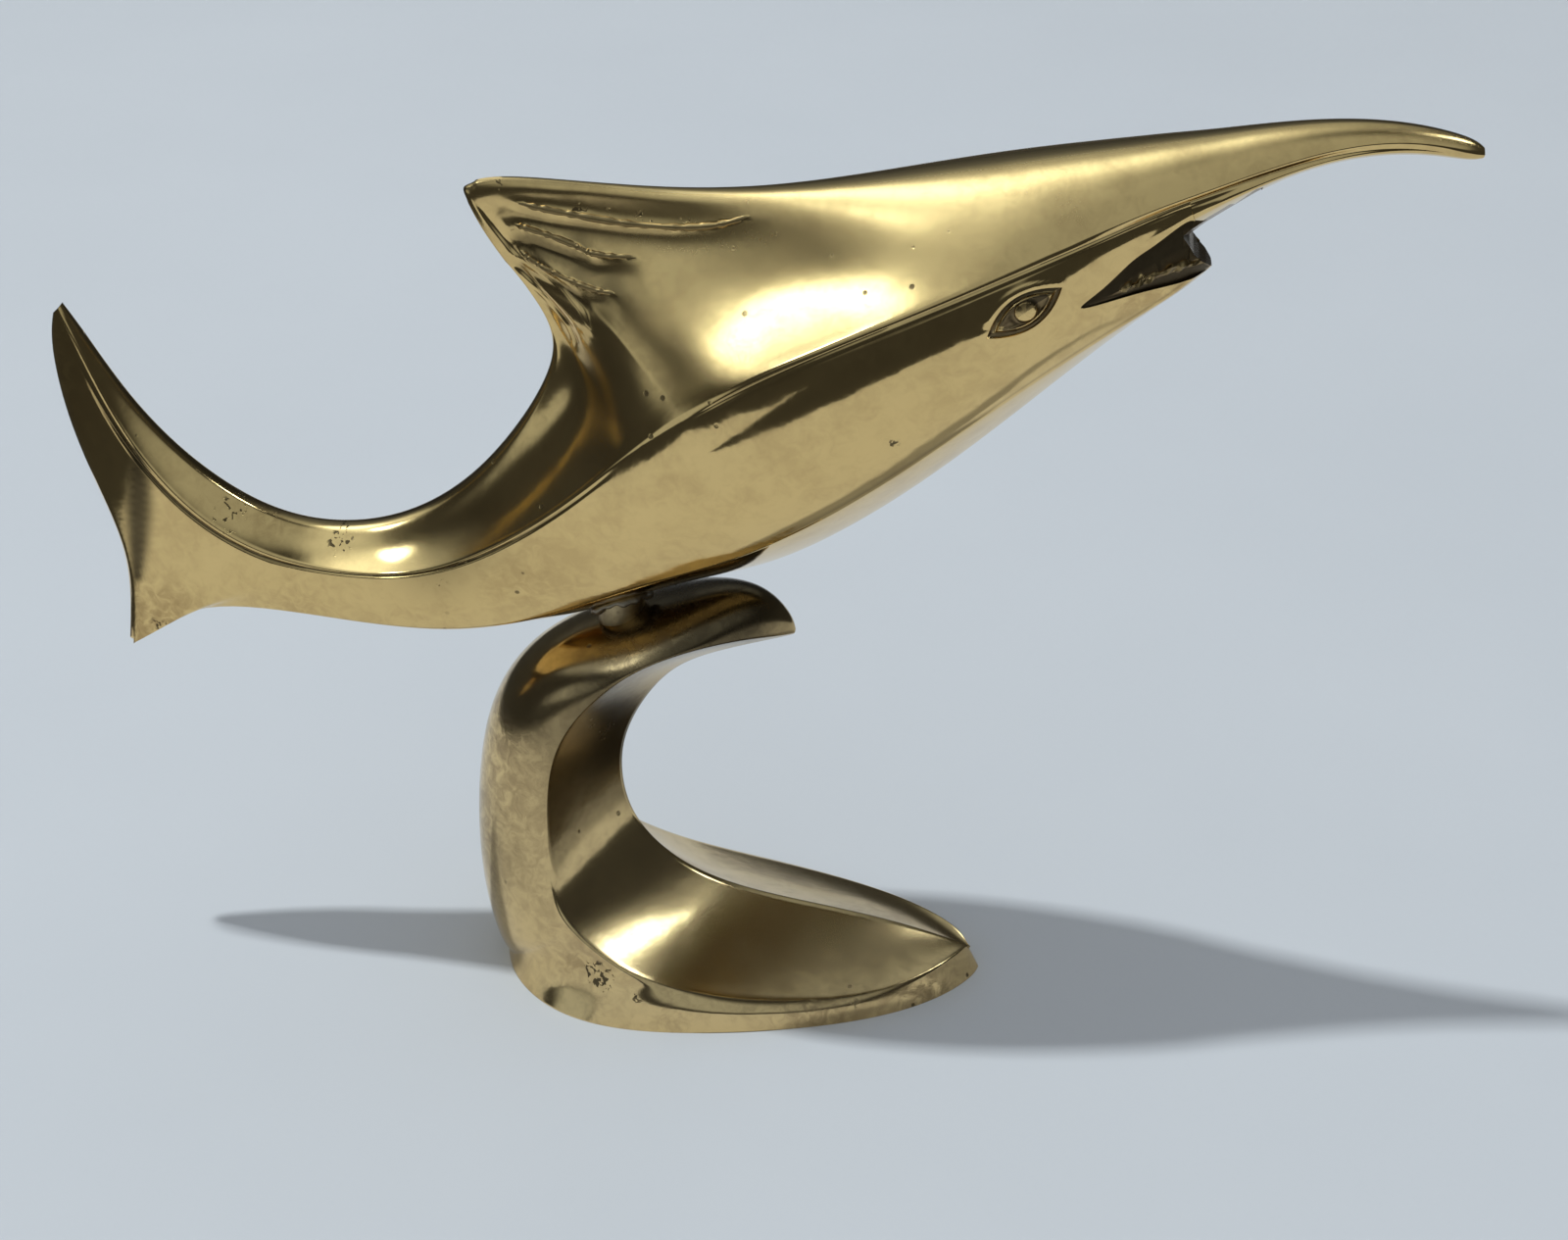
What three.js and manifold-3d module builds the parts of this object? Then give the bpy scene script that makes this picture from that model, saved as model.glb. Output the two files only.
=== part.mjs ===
// Brass leaping billfish on a breaking-wave stand, in millimetres, +Z up.
// Two castings, one round post set into a blind hole in each of them, and the braze bead round it.
// The origin is the centre of the flat underside of the foot, and +X points towards the bill.
import * as THREE from 'three';
import { mergeVertices } from 'three/addons/utils/BufferGeometryUtils.js';
import Module from 'manifold-3d';

const wasm = await Module();
wasm.setup();

// Driving dimensions of the fish
const FISH_LENGTH = 203.2;
const FISH_DEPTH = 95.9;
// Across the two lateral creases
const FISH_WIDTH = 34.4;
const FIN_EDGE = 1.1;
const RAY_DIAMETER = 1.7;
const RAY_SUNK = 0.15;
const RAY_SUNK_END = 0.8;
const MOUTH_WEB = 3.2;
const EYE_LENGTH = 12.0;
const EYE_HEIGHT = 5.4;
const EYE_DEPTH = 0.7;
const PUPIL_DIAMETER = 2.8;

// Driving dimensions of the wave stand
const FOOT_LENGTH = 77.3;
const FOOT_WIDTH = 43.4;
const STAND_HEIGHT = 70.2;

// Driving dimensions of the joint between the two castings
const POST_X = -17.7;
const POST_DIAMETER = 7.4;
const POST_GAP = 2.5;
const POST_SEAT = 8.0;
const BEAD_DIAMETER = 1.1;
const CLEARANCE = 0.3;
const BELLY_STEEPNESS = 1.3;

// Fineness of the faceted castings, the post and its bead
const STEPS_PER_STATION = 2;
const POST_SIDES = 32;
const BEAD_STEPS = 36;
const BEAD_SIDES = 10;
const PUPIL_SIDES = 14;
const RAY_STEPS = 12;

const BRASS_POLISHED = 0xb59a55;
const BRASS_SATIN = 0xa89152;
const BRASS_DULL = 0x9c8750;
const BRAZE_PALE = 0xa6987c;

// The drawing of the fish, side view, near half. The four lines share their stations, tail to bill.
// Back outline [x, z] on the mid-plane
const BACK_LINE = [
  [-99.5, 112.7], [-96.2, 106.6], [-91.4, 97.5], [-85.5, 90.1], [-79.3, 84.2], [-73.9, 80.6],
  [-68.5, 78.3], [-62.7, 77.3], [-55.4, 77.9], [-47.5, 80.8], [-39.7, 86.6], [-33.3, 94.4],
  [-28.6, 102.4], [-26.1, 108.9], [-27.5, 114.4], [-31.6, 120.7], [-35.9, 127.4], [-38.6, 133.2],
  [-33.5, 134.8], [-23.1, 134.8], [-10.8, 134.1], [1.4, 134.6], [13.6, 136.2], [26.1, 138.6],
  [38.1, 141.0], [48.0, 142.7], [54.4, 143.8], [58.8, 144.6], [62.6, 145.2], [66.5, 145.8],
  [72.1, 146.8], [79.4, 147.9], [86.7, 148.2], [93.9, 147.7], [99.4, 146.3], [101.6, 145.0],
];
// Lateral crease [x, z, share of the half width], where the back meets the side
const LATERAL_LINE = [
  [-99.9, 112.0, 0.04], [-97.0, 106.1, 0.11], [-93.5, 96.5, 0.155], [-87.8, 87.0, 0.215],
  [-81.3, 80.4, 0.27], [-75.2, 76.5, 0.305], [-68.9, 74.0, 0.33], [-62.0, 72.8, 0.36],
  [-53.0, 72.8, 0.41], [-45.1, 74.7, 0.475], [-36.0, 79.7, 0.58], [-27.5, 86.4, 0.7],
  [-21.5, 92.1, 0.795], [-17.5, 96.3, 0.845], [-14.3, 99.4, 0.88], [-11.4, 102.0, 0.905],
  [-8.6, 104.4, 0.93], [-5.6, 106.8, 0.955], [-1.3, 109.9, 0.98], [3.8, 113.2, 0.995],
  [9.9, 116.7, 1.0], [16.9, 120.2, 0.985], [24.9, 123.9, 0.945], [33.7, 127.8, 0.87],
  [42.0, 131.3, 0.77], [49.7, 134.4, 0.65], [55.0, 136.4, 0.57], [59.0, 137.9, 0.51],
  [62.6, 139.1, 0.455], [66.5, 140.4, 0.4], [72.2, 142.3, 0.325], [79.3, 144.6, 0.245],
  [86.7, 146.1, 0.185], [93.9, 146.1, 0.135], [99.3, 145.0, 0.09], [101.7, 144.3, 0.035],
];
// Lower crease [x, z, share of the half width], where the side meets the belly
const LOWER_LINE = [
  [-100.1, 111.4, 0.035], [-100.6, 105.1, 0.05], [-100.1, 94.6, 0.055], [-97.7, 83.9, 0.065],
  [-94.8, 74.8, 0.075], [-94.0, 65.5, 0.075], [-95.1, 54.0, 0.06], [-84.3, 61.4, 0.125],
  [-70.5, 63.6, 0.24], [-56.9, 62.7, 0.32], [-43.7, 62.7, 0.36], [-32.4, 65.4, 0.4],
  [-23.3, 70.0, 0.49], [-16.4, 73.4, 0.59], [-11.1, 76.3, 0.655], [-7.0, 78.3, 0.69],
  [-3.4, 80.0, 0.715], [0.2, 81.6, 0.735], [4.8, 84.0, 0.745], [10.4, 87.3, 0.75],
  [16.4, 91.2, 0.74], [22.4, 95.4, 0.715], [29.4, 100.6, 0.67], [36.2, 105.9, 0.6],
  [43.0, 110.9, 0.52], [49.8, 115.6, 0.41], [56.4, 119.9, 0.31], [62.0, 123.5, 0.22],
  [66.2, 127.4, 0.16],
];
// Keel outline [x, z] on the mid-plane: trailing edge, lower lobe, belly and jaw
const KEEL_LINE = [
  [-100.5, 111.0], [-101.6, 104.7], [-101.0, 94.1], [-98.7, 83.6], [-95.6, 74.9], [-94.9, 65.1],
  [-96.5, 52.2], [-85.4, 59.9], [-71.7, 61.9], [-58.1, 60.7], [-44.9, 60.5], [-34.5, 61.1],
  [-25.7, 63.2], [-18.5, 65.9], [-12.9, 68.1], [-8.3, 69.8], [-4.2, 71.2], [-0.1, 72.5],
  [5.0, 74.3], [10.0, 76.8], [16.6, 81.0], [23.6, 86.1], [31.6, 92.9], [39.1, 100.0],
  [46.0, 106.7], [52.5, 112.9], [58.3, 118.4], [63.6, 122.7], [67.3, 126.4],
];
// The same two lines along the bill, which starts at the last station of the jaw
const BILL_LOWER_LINE = [
  [63.6, 135.9, 0.392], [66.9, 137.9, 0.37], [72.6, 140.7, 0.31], [79.5, 143.2, 0.235],
  [86.8, 144.8, 0.17], [93.9, 144.9, 0.125], [99.2, 144.0, 0.085], [101.6, 143.8, 0.03],
];
const BILL_KEEL_LINE = [
  [64.6, 131.6], [67.5, 133.9], [72.6, 137.7], [79.4, 141.0], [86.7, 143.1], [93.7, 143.7],
  [99.0, 143.2], [101.3, 143.4],
];
// How round the back is at each station: 0 a blade that flares out, 1 a full round
const BACK_ROUNDNESS = [
  0.8, 0.7, 0.6, 0.55, 0.5, 0.5, 0.5, 0.5, 0.5, 0.45, 0.4, 0.3, 0.2, 0.05, 0, 0, 0, 0,
  0, 0, 0.08, 0.3, 0.6, 0.85, 1, 1, 1, 1, 1, 1, 1, 1, 1, 1, 1, 1,
];
const FLARE_POWER = 2.2;
// The round of the back is part of a circle whose middle lies this far below the crease, as a share of
// the height of the back, so the crease stays an edge
const CREASE_DROP = 0.8;
// How much the points of the back crowd towards its top, and how soon its edge reaches full thickness
const BACK_CROWDING = 1.4;
const EDGE_ROUNDING = 12;
// Swell of the side and of the belly, as a share of their own height. The side is nearly flat at the
// tail and at the jaw; it grows full between the first two stations and flat again between the last
const END_SWELL = 0.03;
const SIDE_SWELL = 0.12;
const FULLER_STATIONS = [8, 17];
const FLATTER_STATIONS = [23.5, 28];
const BELLY_SWELL = 0.035;
const BACK_SPANS = 10;
const SIDE_SPANS = 5;
const BELLY_SPANS = 3;

// The drawing of the stand, side view, near half. The three lines share their stations, crest to toe.
// Outer line [x, z, share of the half width]: the back of the wave, then the edge of the base
const OUTER_LINE = [
  [9.0, 62.9, 0], [8.0, 65.6, 0], [4.6, 69.0, 0], [-1.0, 70.2, 0], [-9.3, 67.3, 0],
  [-18.0, 63.7, 0], [-26.0, 60.9, 0], [-33.6, 56.2, 0], [-38.2, 47.2, 0], [-40.3, 39.0, 0],
  [-41.7, 28.5, 0], [-41.8, 18.5, 0], [-41.1, 10.5, 0], [-39.8, 4.4, 0], [-38.4, 0, 0],
  [-35.9, 0, 0.42], [-29.0, 0, 0.84], [-18.0, 0, 0.985], [-6.0, 0, 0.995], [7.0, 0, 0.905],
  [18.5, 0, 0.76], [27.5, 0, 0.58], [34.3, 0, 0.345], [37.9, 0, 0.13], [39.0, 0, 0],
];
// Bright rim [x, z, share of the half width] between the outer and the inner face
const RIM_LINE = [
  [8.9, 62.4, 0.015], [6.7, 62.8, 0.1], [2.5, 63.9, 0.245], [-3.5, 64.1, 0.39], [-8.9, 63.0, 0.5],
  [-14.0, 61.3, 0.565], [-18.5, 57.8, 0.59], [-23.0, 52.6, 0.585], [-26.4, 47.0, 0.576],
  [-28.0, 41.0, 0.585], [-28.6, 34.0, 0.61], [-28.4, 26.7, 0.66], [-27.5, 21.4, 0.715],
  [-26.2, 18.1, 0.76], [-24.2, 15.5, 0.805], [-21.0, 12.9, 0.855], [-16.5, 10.0, 0.89],
  [-10.5, 7.5, 0.905], [-1.5, 5.7, 0.885], [8.5, 4.6, 0.82], [17.5, 4.1, 0.71],
  [25.0, 4.0, 0.565], [31.3, 4.5, 0.36], [35.4, 4.9, 0.15], [37.0, 4.3, 0.014],
];
// Inner ridge [x, z] on the mid-plane
const RIDGE_LINE = [
  [8.7, 62.0], [6.8, 61.3], [1.4, 59.6], [-4.7, 57.4], [-9.0, 55.2], [-12.3, 51.8],
  [-15.1, 47.6], [-17.0, 43.8], [-18.2, 39.4], [-18.5, 36.0], [-18.2, 31.6], [-17.4, 28.0],
  [-15.8, 24.8], [-13.8, 22.0], [-11.5, 19.6], [-8.0, 17.0], [-3.5, 14.6], [2.5, 12.6],
  [9.5, 11.2], [16.5, 9.9], [23.0, 8.5], [28.9, 7.0], [33.6, 5.4], [36.4, 4.4], [37.6, 4.0],
];
// How round the outer face is at each station: 1 wraps round the back, 0 is a nearly straight wall
const WRAP = [
  1, 1, 1, 1, 1, 1, 1, 1, 1, 1, 1, 1, 1, 1, 0.95, 0.7, 0.45, 0.25, 0.15, 0.12, 0.12, 0.12, 0.15,
  0.2, 0.2,
];
const WRAP_ANGLE = THREE.MathUtils.degToRad(78);
const WALL_CROWN = 0.7;
const INNER_HOLLOW = 0.7;
const OUTER_SPANS = 7;
const INNER_SPANS = 5;

// The open mouth [x, z]: the pocket at each side, then the gap in front of the web between the jaws
const MOUTH_POCKET = [
  [49.0, 123.8], [51.7, 126.4], [55.5, 130.2], [58.6, 132.4], [62.5, 135.3], [64.4, 134.6],
  [67.2, 132.0], [68.6, 127.8], [66.6, 126.0], [63.0, 125.1], [58.5, 124.7], [53.4, 124.1],
];
const JAW_GAP = [
  [63.4, 130.2], [64.6, 128.5], [66.0, 127.2], [66.9, 125.7], [71.0, 125.7], [71.0, 140.0],
  [62.6, 140.0], [62.4, 131.6],
];
// Underside of the bill over that gap [x, z]; it rises to both sides from the middle
const PALATE_LINE = [[71.5, 136.8], [67.5, 133.8], [65.4, 132.4], [63.4, 130.6], [61.5, 128.6]];
const PALATE_RISE = 0.62;
// Height of the block that the gap is cut from
const GAP_DEPTH = FISH_DEPTH / 5;
const EYE_CENTRE = [41.4, 124.1];
const EYE_TILT = THREE.MathUtils.degToRad(35);
// The three raised rays of the fin [x, z]
const FIN_RAYS = [
  [[-33.0, 131.9], [-27.3, 130.9], [-15.8, 129.4], [-7.7, 129.3], [4.4, 132.0]],
  [[-31.2, 128.2], [-28.2, 127.6], [-20.5, 125.4], [-12.0, 124.8]],
  [[-29.6, 124.1], [-25.4, 121.9], [-20.3, 120.5], [-15.4, 120.0]],
];

function solidFrom(geometry) {
  const bare = geometry.index ? geometry.toNonIndexed() : geometry.clone();
  bare.deleteAttribute('normal');
  bare.deleteAttribute('uv');
  const merged = mergeVertices(bare, 1e-4);
  const index = merged.index.array;
  const corners = [];
  for (let i = 0; i < index.length; i += 3) {
    const [a, b, c] = [index[i], index[i + 1], index[i + 2]];
    if (a !== b && b !== c && c !== a) corners.push(a, b, c);
  }
  const vertProperties = new Float32Array(merged.attributes.position.array);
  return new wasm.Manifold(new wasm.Mesh({ numProp: 3, vertProperties, triVerts: new Uint32Array(corners) }));
}

function geometryFrom(solid) {
  const mesh = solid.getMesh();
  const geometry = new THREE.BufferGeometry();
  geometry.setAttribute('position', new THREE.BufferAttribute(new Float32Array(mesh.vertProperties), 3));
  geometry.setIndex(new THREE.BufferAttribute(new Uint32Array(mesh.triVerts), 1));
  geometry.computeVertexNormals();
  return geometry;
}

function shifted(solid, x, y, z) {
  return solidFrom(geometryFrom(solid).translate(x, y, z));
}

// Where a straight look from a point first meets a solid
function firstHit(solid, from, towards) {
  const target = new THREE.Mesh(geometryFrom(solid), new THREE.MeshBasicMaterial({ side: THREE.DoubleSide }));
  return new THREE.Raycaster(from, towards).intersectObject(target)[0].point;
}

// A smooth line through drawn points, read by its station; the first point is at the given station
function smoothLine(points, first = 0) {
  const curve = new THREE.CatmullRomCurve3(points.map(([x, z, share = 0]) => new THREE.Vector3(x, share, z)));
  return (station) => curve.getPoint((station - first) / (points.length - 1));
}

function smoothValue(values) {
  return (station) => {
    const i = Math.min(Math.floor(station), values.length - 2);
    return THREE.MathUtils.lerp(values[i], values[i + 1], station - i);
  };
}

// Stations from one drawn station to another, the coarser first
function stationsBetween(from, to) {
  const steps = Math.round(Math.abs(to - from) * STEPS_PER_STATION);
  return Array.from({ length: steps + 1 }, (_, i) => THREE.MathUtils.lerp(from, to, i / steps));
}

// Joins closed rings of equal length into a skin and closes both ends with a fan
function skinOverRings(rings) {
  const positions = [];
  const triangle = (a, b, c) => {
    for (const p of [a, b, c]) positions.push(p.x, p.y, p.z);
  };
  const count = rings[0].length;
  for (let i = 0; i + 1 < rings.length; i += 1) {
    for (let j = 0; j < count; j += 1) {
      const k = (j + 1) % count;
      const [a, b, c, d] = [rings[i][j], rings[i + 1][j], rings[i + 1][k], rings[i][k]];
      if (a.distanceTo(c) <= b.distanceTo(d)) {
        triangle(a, b, c);
        triangle(a, c, d);
      } else {
        triangle(a, b, d);
        triangle(b, c, d);
      }
    }
  }
  for (const [ring, flip] of [[rings[0], true], [rings.at(-1), false]]) {
    const middle = ring.reduce((sum, p) => sum.add(p), new THREE.Vector3()).divideScalar(count);
    for (let j = 0; j < count; j += 1) {
      const k = (j + 1) % count;
      if (flip) triangle(middle, ring[j], ring[k]);
      else triangle(middle, ring[k], ring[j]);
    }
  }
  const geometry = new THREE.BufferGeometry();
  geometry.setAttribute('position', new THREE.Float32BufferAttribute(positions, 3));
  return geometry;
}

// A half section on the near side (-Y), mirrored into a closed ring. Its last point is on the
// mid-plane, and so is its first, except under a flat base
function closedRing(half, flatBase = false) {
  const far = half.map((p) => new THREE.Vector3(p.x, -p.y, p.z));
  if (flatBase) return [...half, ...far.slice(0, -1).reverse()];
  return [...half, ...far.slice(1, -1).reverse()];
}

// How far a set of drawn lines reaches along one axis, to scale a drawing to its driving dimension
function reach(tables, axis) {
  const values = tables.flat().map((point) => point[axis]);
  return Math.max(...values) - Math.min(...values);
}

// Fish casting. The belly sits one post gap above the stand, so its drawing is measured from there
const fishX = FISH_LENGTH / reach([LATERAL_LINE, KEEL_LINE], 0);
const fishZ = FISH_DEPTH / reach([BACK_LINE, KEEL_LINE], 1);
const halfFish = FISH_WIDTH / 2;
const footX = FOOT_LENGTH / reach([OUTER_LINE.slice(14)], 0);
const halfFoot = FOOT_WIDTH / 2;
const standZ = STAND_HEIGHT / reach([OUTER_LINE], 1);
const heightAt = (table, x) => {
  const next = table.findIndex((point, i) => i > 0 && (point[0] - x) * (table[i - 1][0] - x) <= 0);
  const [a, b] = [table[next - 1], table[next]];
  return THREE.MathUtils.mapLinear(x, a[0], b[0], a[1], b[1]);
};
const crestAtPost = heightAt(OUTER_LINE.slice(0, 8), POST_X / footX) * standZ;
const bellyAtPost = heightAt(KEEL_LINE.slice(6), POST_X);
const placeFish = (x, z) => [
  POST_X + (x - POST_X) * fishX,
  crestAtPost + POST_GAP + (z - bellyAtPost) * fishZ,
];

function backWidth(t, roundness, edge, wide) {
  const blade = t ** FLARE_POWER;
  const reach = 1 + CREASE_DROP;
  const fall = Math.max(0, reach ** 2 - (1 - t + CREASE_DROP) ** 2);
  const round = Math.sqrt(fall / (reach ** 2 - CREASE_DROP ** 2));
  const rim = Math.min(edge, wide) * Math.sqrt(1 - (1 - Math.min(1, t * EDGE_ROUNDING)) ** 2);
  const shape = roundness * round + (1 - roundness) * blade;
  return rim + (wide - Math.min(edge, wide)) * shape;
}

function fishHalfSection(station, onBill) {
  const back = lines.back(station);
  const lateral = lines.lateral(station);
  const lower = onBill ? lines.billLower(station) : lines.lower(station);
  const keel = onBill ? lines.billKeel(station) : lines.keel(station);
  const roundness = lines.roundness(station);
  const wide = lateral.y * halfFish;
  const low = lower.y * halfFish;
  const { smoothstep, lerp } = THREE.MathUtils;
  const fullness = smoothstep(station, ...FULLER_STATIONS) - smoothstep(station, ...FLATTER_STATIONS);
  const sideSwell = lerp(END_SWELL, SIDE_SWELL, fullness);
  const sideCrown = sideSwell * fishZ * Math.hypot(lateral.x - lower.x, lateral.z - lower.z);
  const bellyCrown = BELLY_SWELL * Math.hypot(fishX * (lower.x - keel.x), fishZ * (lower.z - keel.z), low);
  const half = [];
  const add = (x, y, z) => {
    const [px, pz] = placeFish(x, z);
    half.push(new THREE.Vector3(px, -y, pz));
  };
  for (let i = 0; i < BACK_SPANS; i += 1) {
    const t = (i / BACK_SPANS) ** BACK_CROWDING;
    const edge = FIN_EDGE * (1 - roundness);
    add(
      THREE.MathUtils.lerp(back.x, lateral.x, t),
      backWidth(t, roundness, edge, wide),
      THREE.MathUtils.lerp(back.z, lateral.z, t),
    );
  }
  for (let i = 0; i < SIDE_SPANS; i += 1) {
    const t = i / SIDE_SPANS;
    add(
      THREE.MathUtils.lerp(lateral.x, lower.x, t),
      THREE.MathUtils.lerp(wide, low, t) + sideCrown * 4 * t * (1 - t),
      THREE.MathUtils.lerp(lateral.z, lower.z, t),
    );
  }
  for (let i = 0; i <= BELLY_SPANS; i += 1) {
    const t = i / BELLY_SPANS;
    add(
      THREE.MathUtils.lerp(lower.x, keel.x, t),
      low * (1 - t) + bellyCrown * 4 * t * (1 - t),
      THREE.MathUtils.lerp(lower.z, keel.z, t),
    );
  }
  return half;
}

const jawStation = LOWER_LINE.length - 1;
const tipStation = BACK_LINE.length - 1;
const lines = {
  back: smoothLine(BACK_LINE),
  lateral: smoothLine(LATERAL_LINE),
  lower: smoothLine(LOWER_LINE),
  keel: smoothLine(KEEL_LINE),
  billLower: smoothLine(BILL_LOWER_LINE, jawStation),
  billKeel: smoothLine(BILL_KEEL_LINE, jawStation),
  roundness: smoothValue(BACK_ROUNDNESS),
};

// A flat outline of the side view, extruded from one half width to another on one side
function sidePrism(outline, from, to, side) {
  const shape = new THREE.Shape(outline.map(([x, z]) => new THREE.Vector2(x, z)));
  const prism = new THREE.ExtrudeGeometry(shape, { depth: to - from, bevelEnabled: false, steps: 1 });
  prism.rotateX(Math.PI / 2);
  prism.translate(0, side > 0 ? to : -from, 0);
  return prism;
}

function roundedOutline(points, samples) {
  const loop = points.map(([x, z]) => {
    const [px, pz] = placeFish(x, z);
    return new THREE.Vector3(px, pz, 0);
  });
  const curve = new THREE.CatmullRomCurve3(loop, true, 'centripetal');
  return curve.getPoints(samples).slice(0, -1).map((p) => [p.x, p.y]);
}

// Almond outline of the eye, tilted with the head: one lid there and the other lid back
function almond(length, height, samples) {
  const outline = [];
  for (const lid of [1, -1]) {
    for (let i = 0; i < samples; i += 1) {
      const share = lid * ((2 * i) / samples - 1);
      const along = share * (length / 2);
      const up = -lid * (1 - share ** 2) * (height / 2);
      outline.push(placeFish(
        EYE_CENTRE[0] + along * Math.cos(EYE_TILT) - up * Math.sin(EYE_TILT),
        EYE_CENTRE[1] + along * Math.sin(EYE_TILT) + up * Math.cos(EYE_TILT),
      ));
    }
  }
  return outline;
}

// Cutter for a shallow recess inside an outline, with a floor that follows the surface of the body
function surfaceRecess(body, outline, side, depth) {
  const prism = solidFrom(sidePrism(outline, FISH_WIDTH * 0.15, FISH_WIDTH * 0.6, side));
  return prism.subtract(shifted(body, 0, -side * depth, 0));
}

// A ridge laid on the near or far flank, sunk into it at both ends
function flankRidge(body, points, side) {
  const path = points.map(([x, z], i) => {
    const [px, pz] = placeFish(x, z);
    const point = firstHit(body, new THREE.Vector3(px, side * FISH_WIDTH, pz), new THREE.Vector3(0, -side, 0));
    const end = i === 0 || i === points.length - 1;
    point.y -= side * RAY_DIAMETER * (end ? RAY_SUNK_END : RAY_SUNK);
    return point;
  });
  const round = new THREE.Shape().absarc(0, 0, RAY_DIAMETER / 2, 0, Math.PI * 2);
  const settings = { steps: RAY_STEPS, bevelEnabled: false, curveSegments: 5 };
  settings.extrudePath = new THREE.CatmullRomCurve3(path);
  return solidFrom(new THREE.ExtrudeGeometry(round, settings));
}

// Everything under the bill: a block whose top is the V-shaped underside of the bill
function underBill() {
  const rise = halfFish * PALATE_RISE;
  const rings = PALATE_LINE.map(([x, z]) => {
    const [px, pz] = placeFish(x, z);
    return [
      new THREE.Vector3(px, 0, pz),
      new THREE.Vector3(px, -halfFish, pz + rise),
      new THREE.Vector3(px, -halfFish, pz - GAP_DEPTH),
      new THREE.Vector3(px, halfFish, pz - GAP_DEPTH),
      new THREE.Vector3(px, halfFish, pz + rise),
    ];
  });
  return solidFrom(skinOverRings(rings));
}

function makeFish() {
  const rings = [
    ...stationsBetween(tipStation, jawStation).map((station) => fishHalfSection(station, true)),
    ...stationsBetween(jawStation, 0).map((station) => fishHalfSection(station, false)),
  ].map((half) => closedRing(half));
  let fish = solidFrom(skinOverRings(rings));
  const gap = sidePrism(JAW_GAP.map(([x, z]) => placeFish(x, z)), -FISH_WIDTH, FISH_WIDTH, 1);
  fish = fish.subtract(solidFrom(gap).intersect(underBill()));
  for (const side of [-1, 1]) {
    const mouth = sidePrism(roundedOutline(MOUTH_POCKET, 30), MOUTH_WEB / 2, FISH_WIDTH, side);
    const pupil = new THREE.CylinderGeometry(PUPIL_DIAMETER / 2, PUPIL_DIAMETER / 2, FISH_WIDTH, PUPIL_SIDES);
    const [eyeX, eyeZ] = placeFish(...EYE_CENTRE);
    pupil.translate(eyeX, side * halfFish, eyeZ);
    const eye = surfaceRecess(fish, almond(EYE_LENGTH, EYE_HEIGHT, 12), side, EYE_DEPTH);
    const rays = FIN_RAYS.map((points) => flankRidge(fish, points, side));
    fish = fish.subtract(solidFrom(mouth)).subtract(eye.subtract(solidFrom(pupil)));
    for (const fin of rays) fish = fish.add(fin);
  }
  return fish;
}

// Wave stand
function standHalfSection(station) {
  const outer = standLines.outer(station);
  const rim = standLines.rim(station);
  const ridge = standLines.ridge(station);
  const wrap = standLines.wrap(station);
  const half = [];
  const add = (x, y, z) => half.push(new THREE.Vector3(x * footX, -y * halfFoot, z * standZ));
  for (let i = 0; i < OUTER_SPANS; i += 1) {
    const t = i / OUTER_SPANS;
    const angle = t * WRAP_ANGLE;
    const along = THREE.MathUtils.lerp(t, (1 - Math.cos(angle)) / (1 - Math.cos(WRAP_ANGLE)), wrap);
    const across = THREE.MathUtils.lerp(t, Math.sin(angle) / Math.sin(WRAP_ANGLE), wrap);
    const crown = (WALL_CROWN / halfFoot) * (1 - wrap) * 4 * t * (1 - t);
    add(
      THREE.MathUtils.lerp(outer.x, rim.x, along),
      THREE.MathUtils.lerp(outer.y, rim.y, across) + crown * rim.y,
      THREE.MathUtils.lerp(outer.z, rim.z, along),
    );
  }
  const fall = new THREE.Vector2(ridge.x - rim.x, ridge.z - rim.z);
  const away = new THREE.Vector2(outer.x - ridge.x, outer.z - ridge.z).normalize();
  for (let i = 0; i <= INNER_SPANS; i += 1) {
    const t = i / INNER_SPANS;
    const hollow = (INNER_HOLLOW / standZ) * rim.y * 4 * t * (1 - t);
    add(
      rim.x + fall.x * t + away.x * hollow,
      rim.y * (1 - t),
      rim.z + fall.y * t + away.y * hollow,
    );
  }
  return half;
}

const standLines = {
  outer: smoothLine(OUTER_LINE),
  rim: smoothLine(RIM_LINE),
  ridge: smoothLine(RIDGE_LINE),
  wrap: smoothValue(WRAP),
};

function makeStand() {
  const rings = stationsBetween(0, OUTER_LINE.length - 1).map((station) => {
    const half = standHalfSection(station);
    for (const p of half) p.z = Math.max(p.z, 0);
    return closedRing(half, true);
  });
  return solidFrom(skinOverRings(rings));
}

// A round bar standing on the post's axis between two heights
function barAtPost(diameter, from, to) {
  const bar = new THREE.CylinderGeometry(diameter / 2, diameter / 2, to - from, POST_SIDES);
  bar.rotateX(Math.PI / 2);
  bar.translate(POST_X, 0, (from + to) / 2);
  return solidFrom(bar);
}

const crest = crestAtPost;
const belly = crestAtPost + POST_GAP;
const holeDiameter = POST_DIAMETER + CLEARANCE * 2;
const fishHole = barAtPost(holeDiameter, belly - POST_DIAMETER, belly + POST_SEAT + CLEARANCE);
const standHole = barAtPost(holeDiameter, crest - POST_SEAT - CLEARANCE, crest + POST_DIAMETER);
const bareFish = makeFish();
const fishSolid = bareFish.subtract(fishHole);
const standSolid = makeStand().subtract(standHole);
const postSolid = barAtPost(POST_DIAMETER, crest - POST_SEAT, belly + POST_SEAT);

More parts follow.
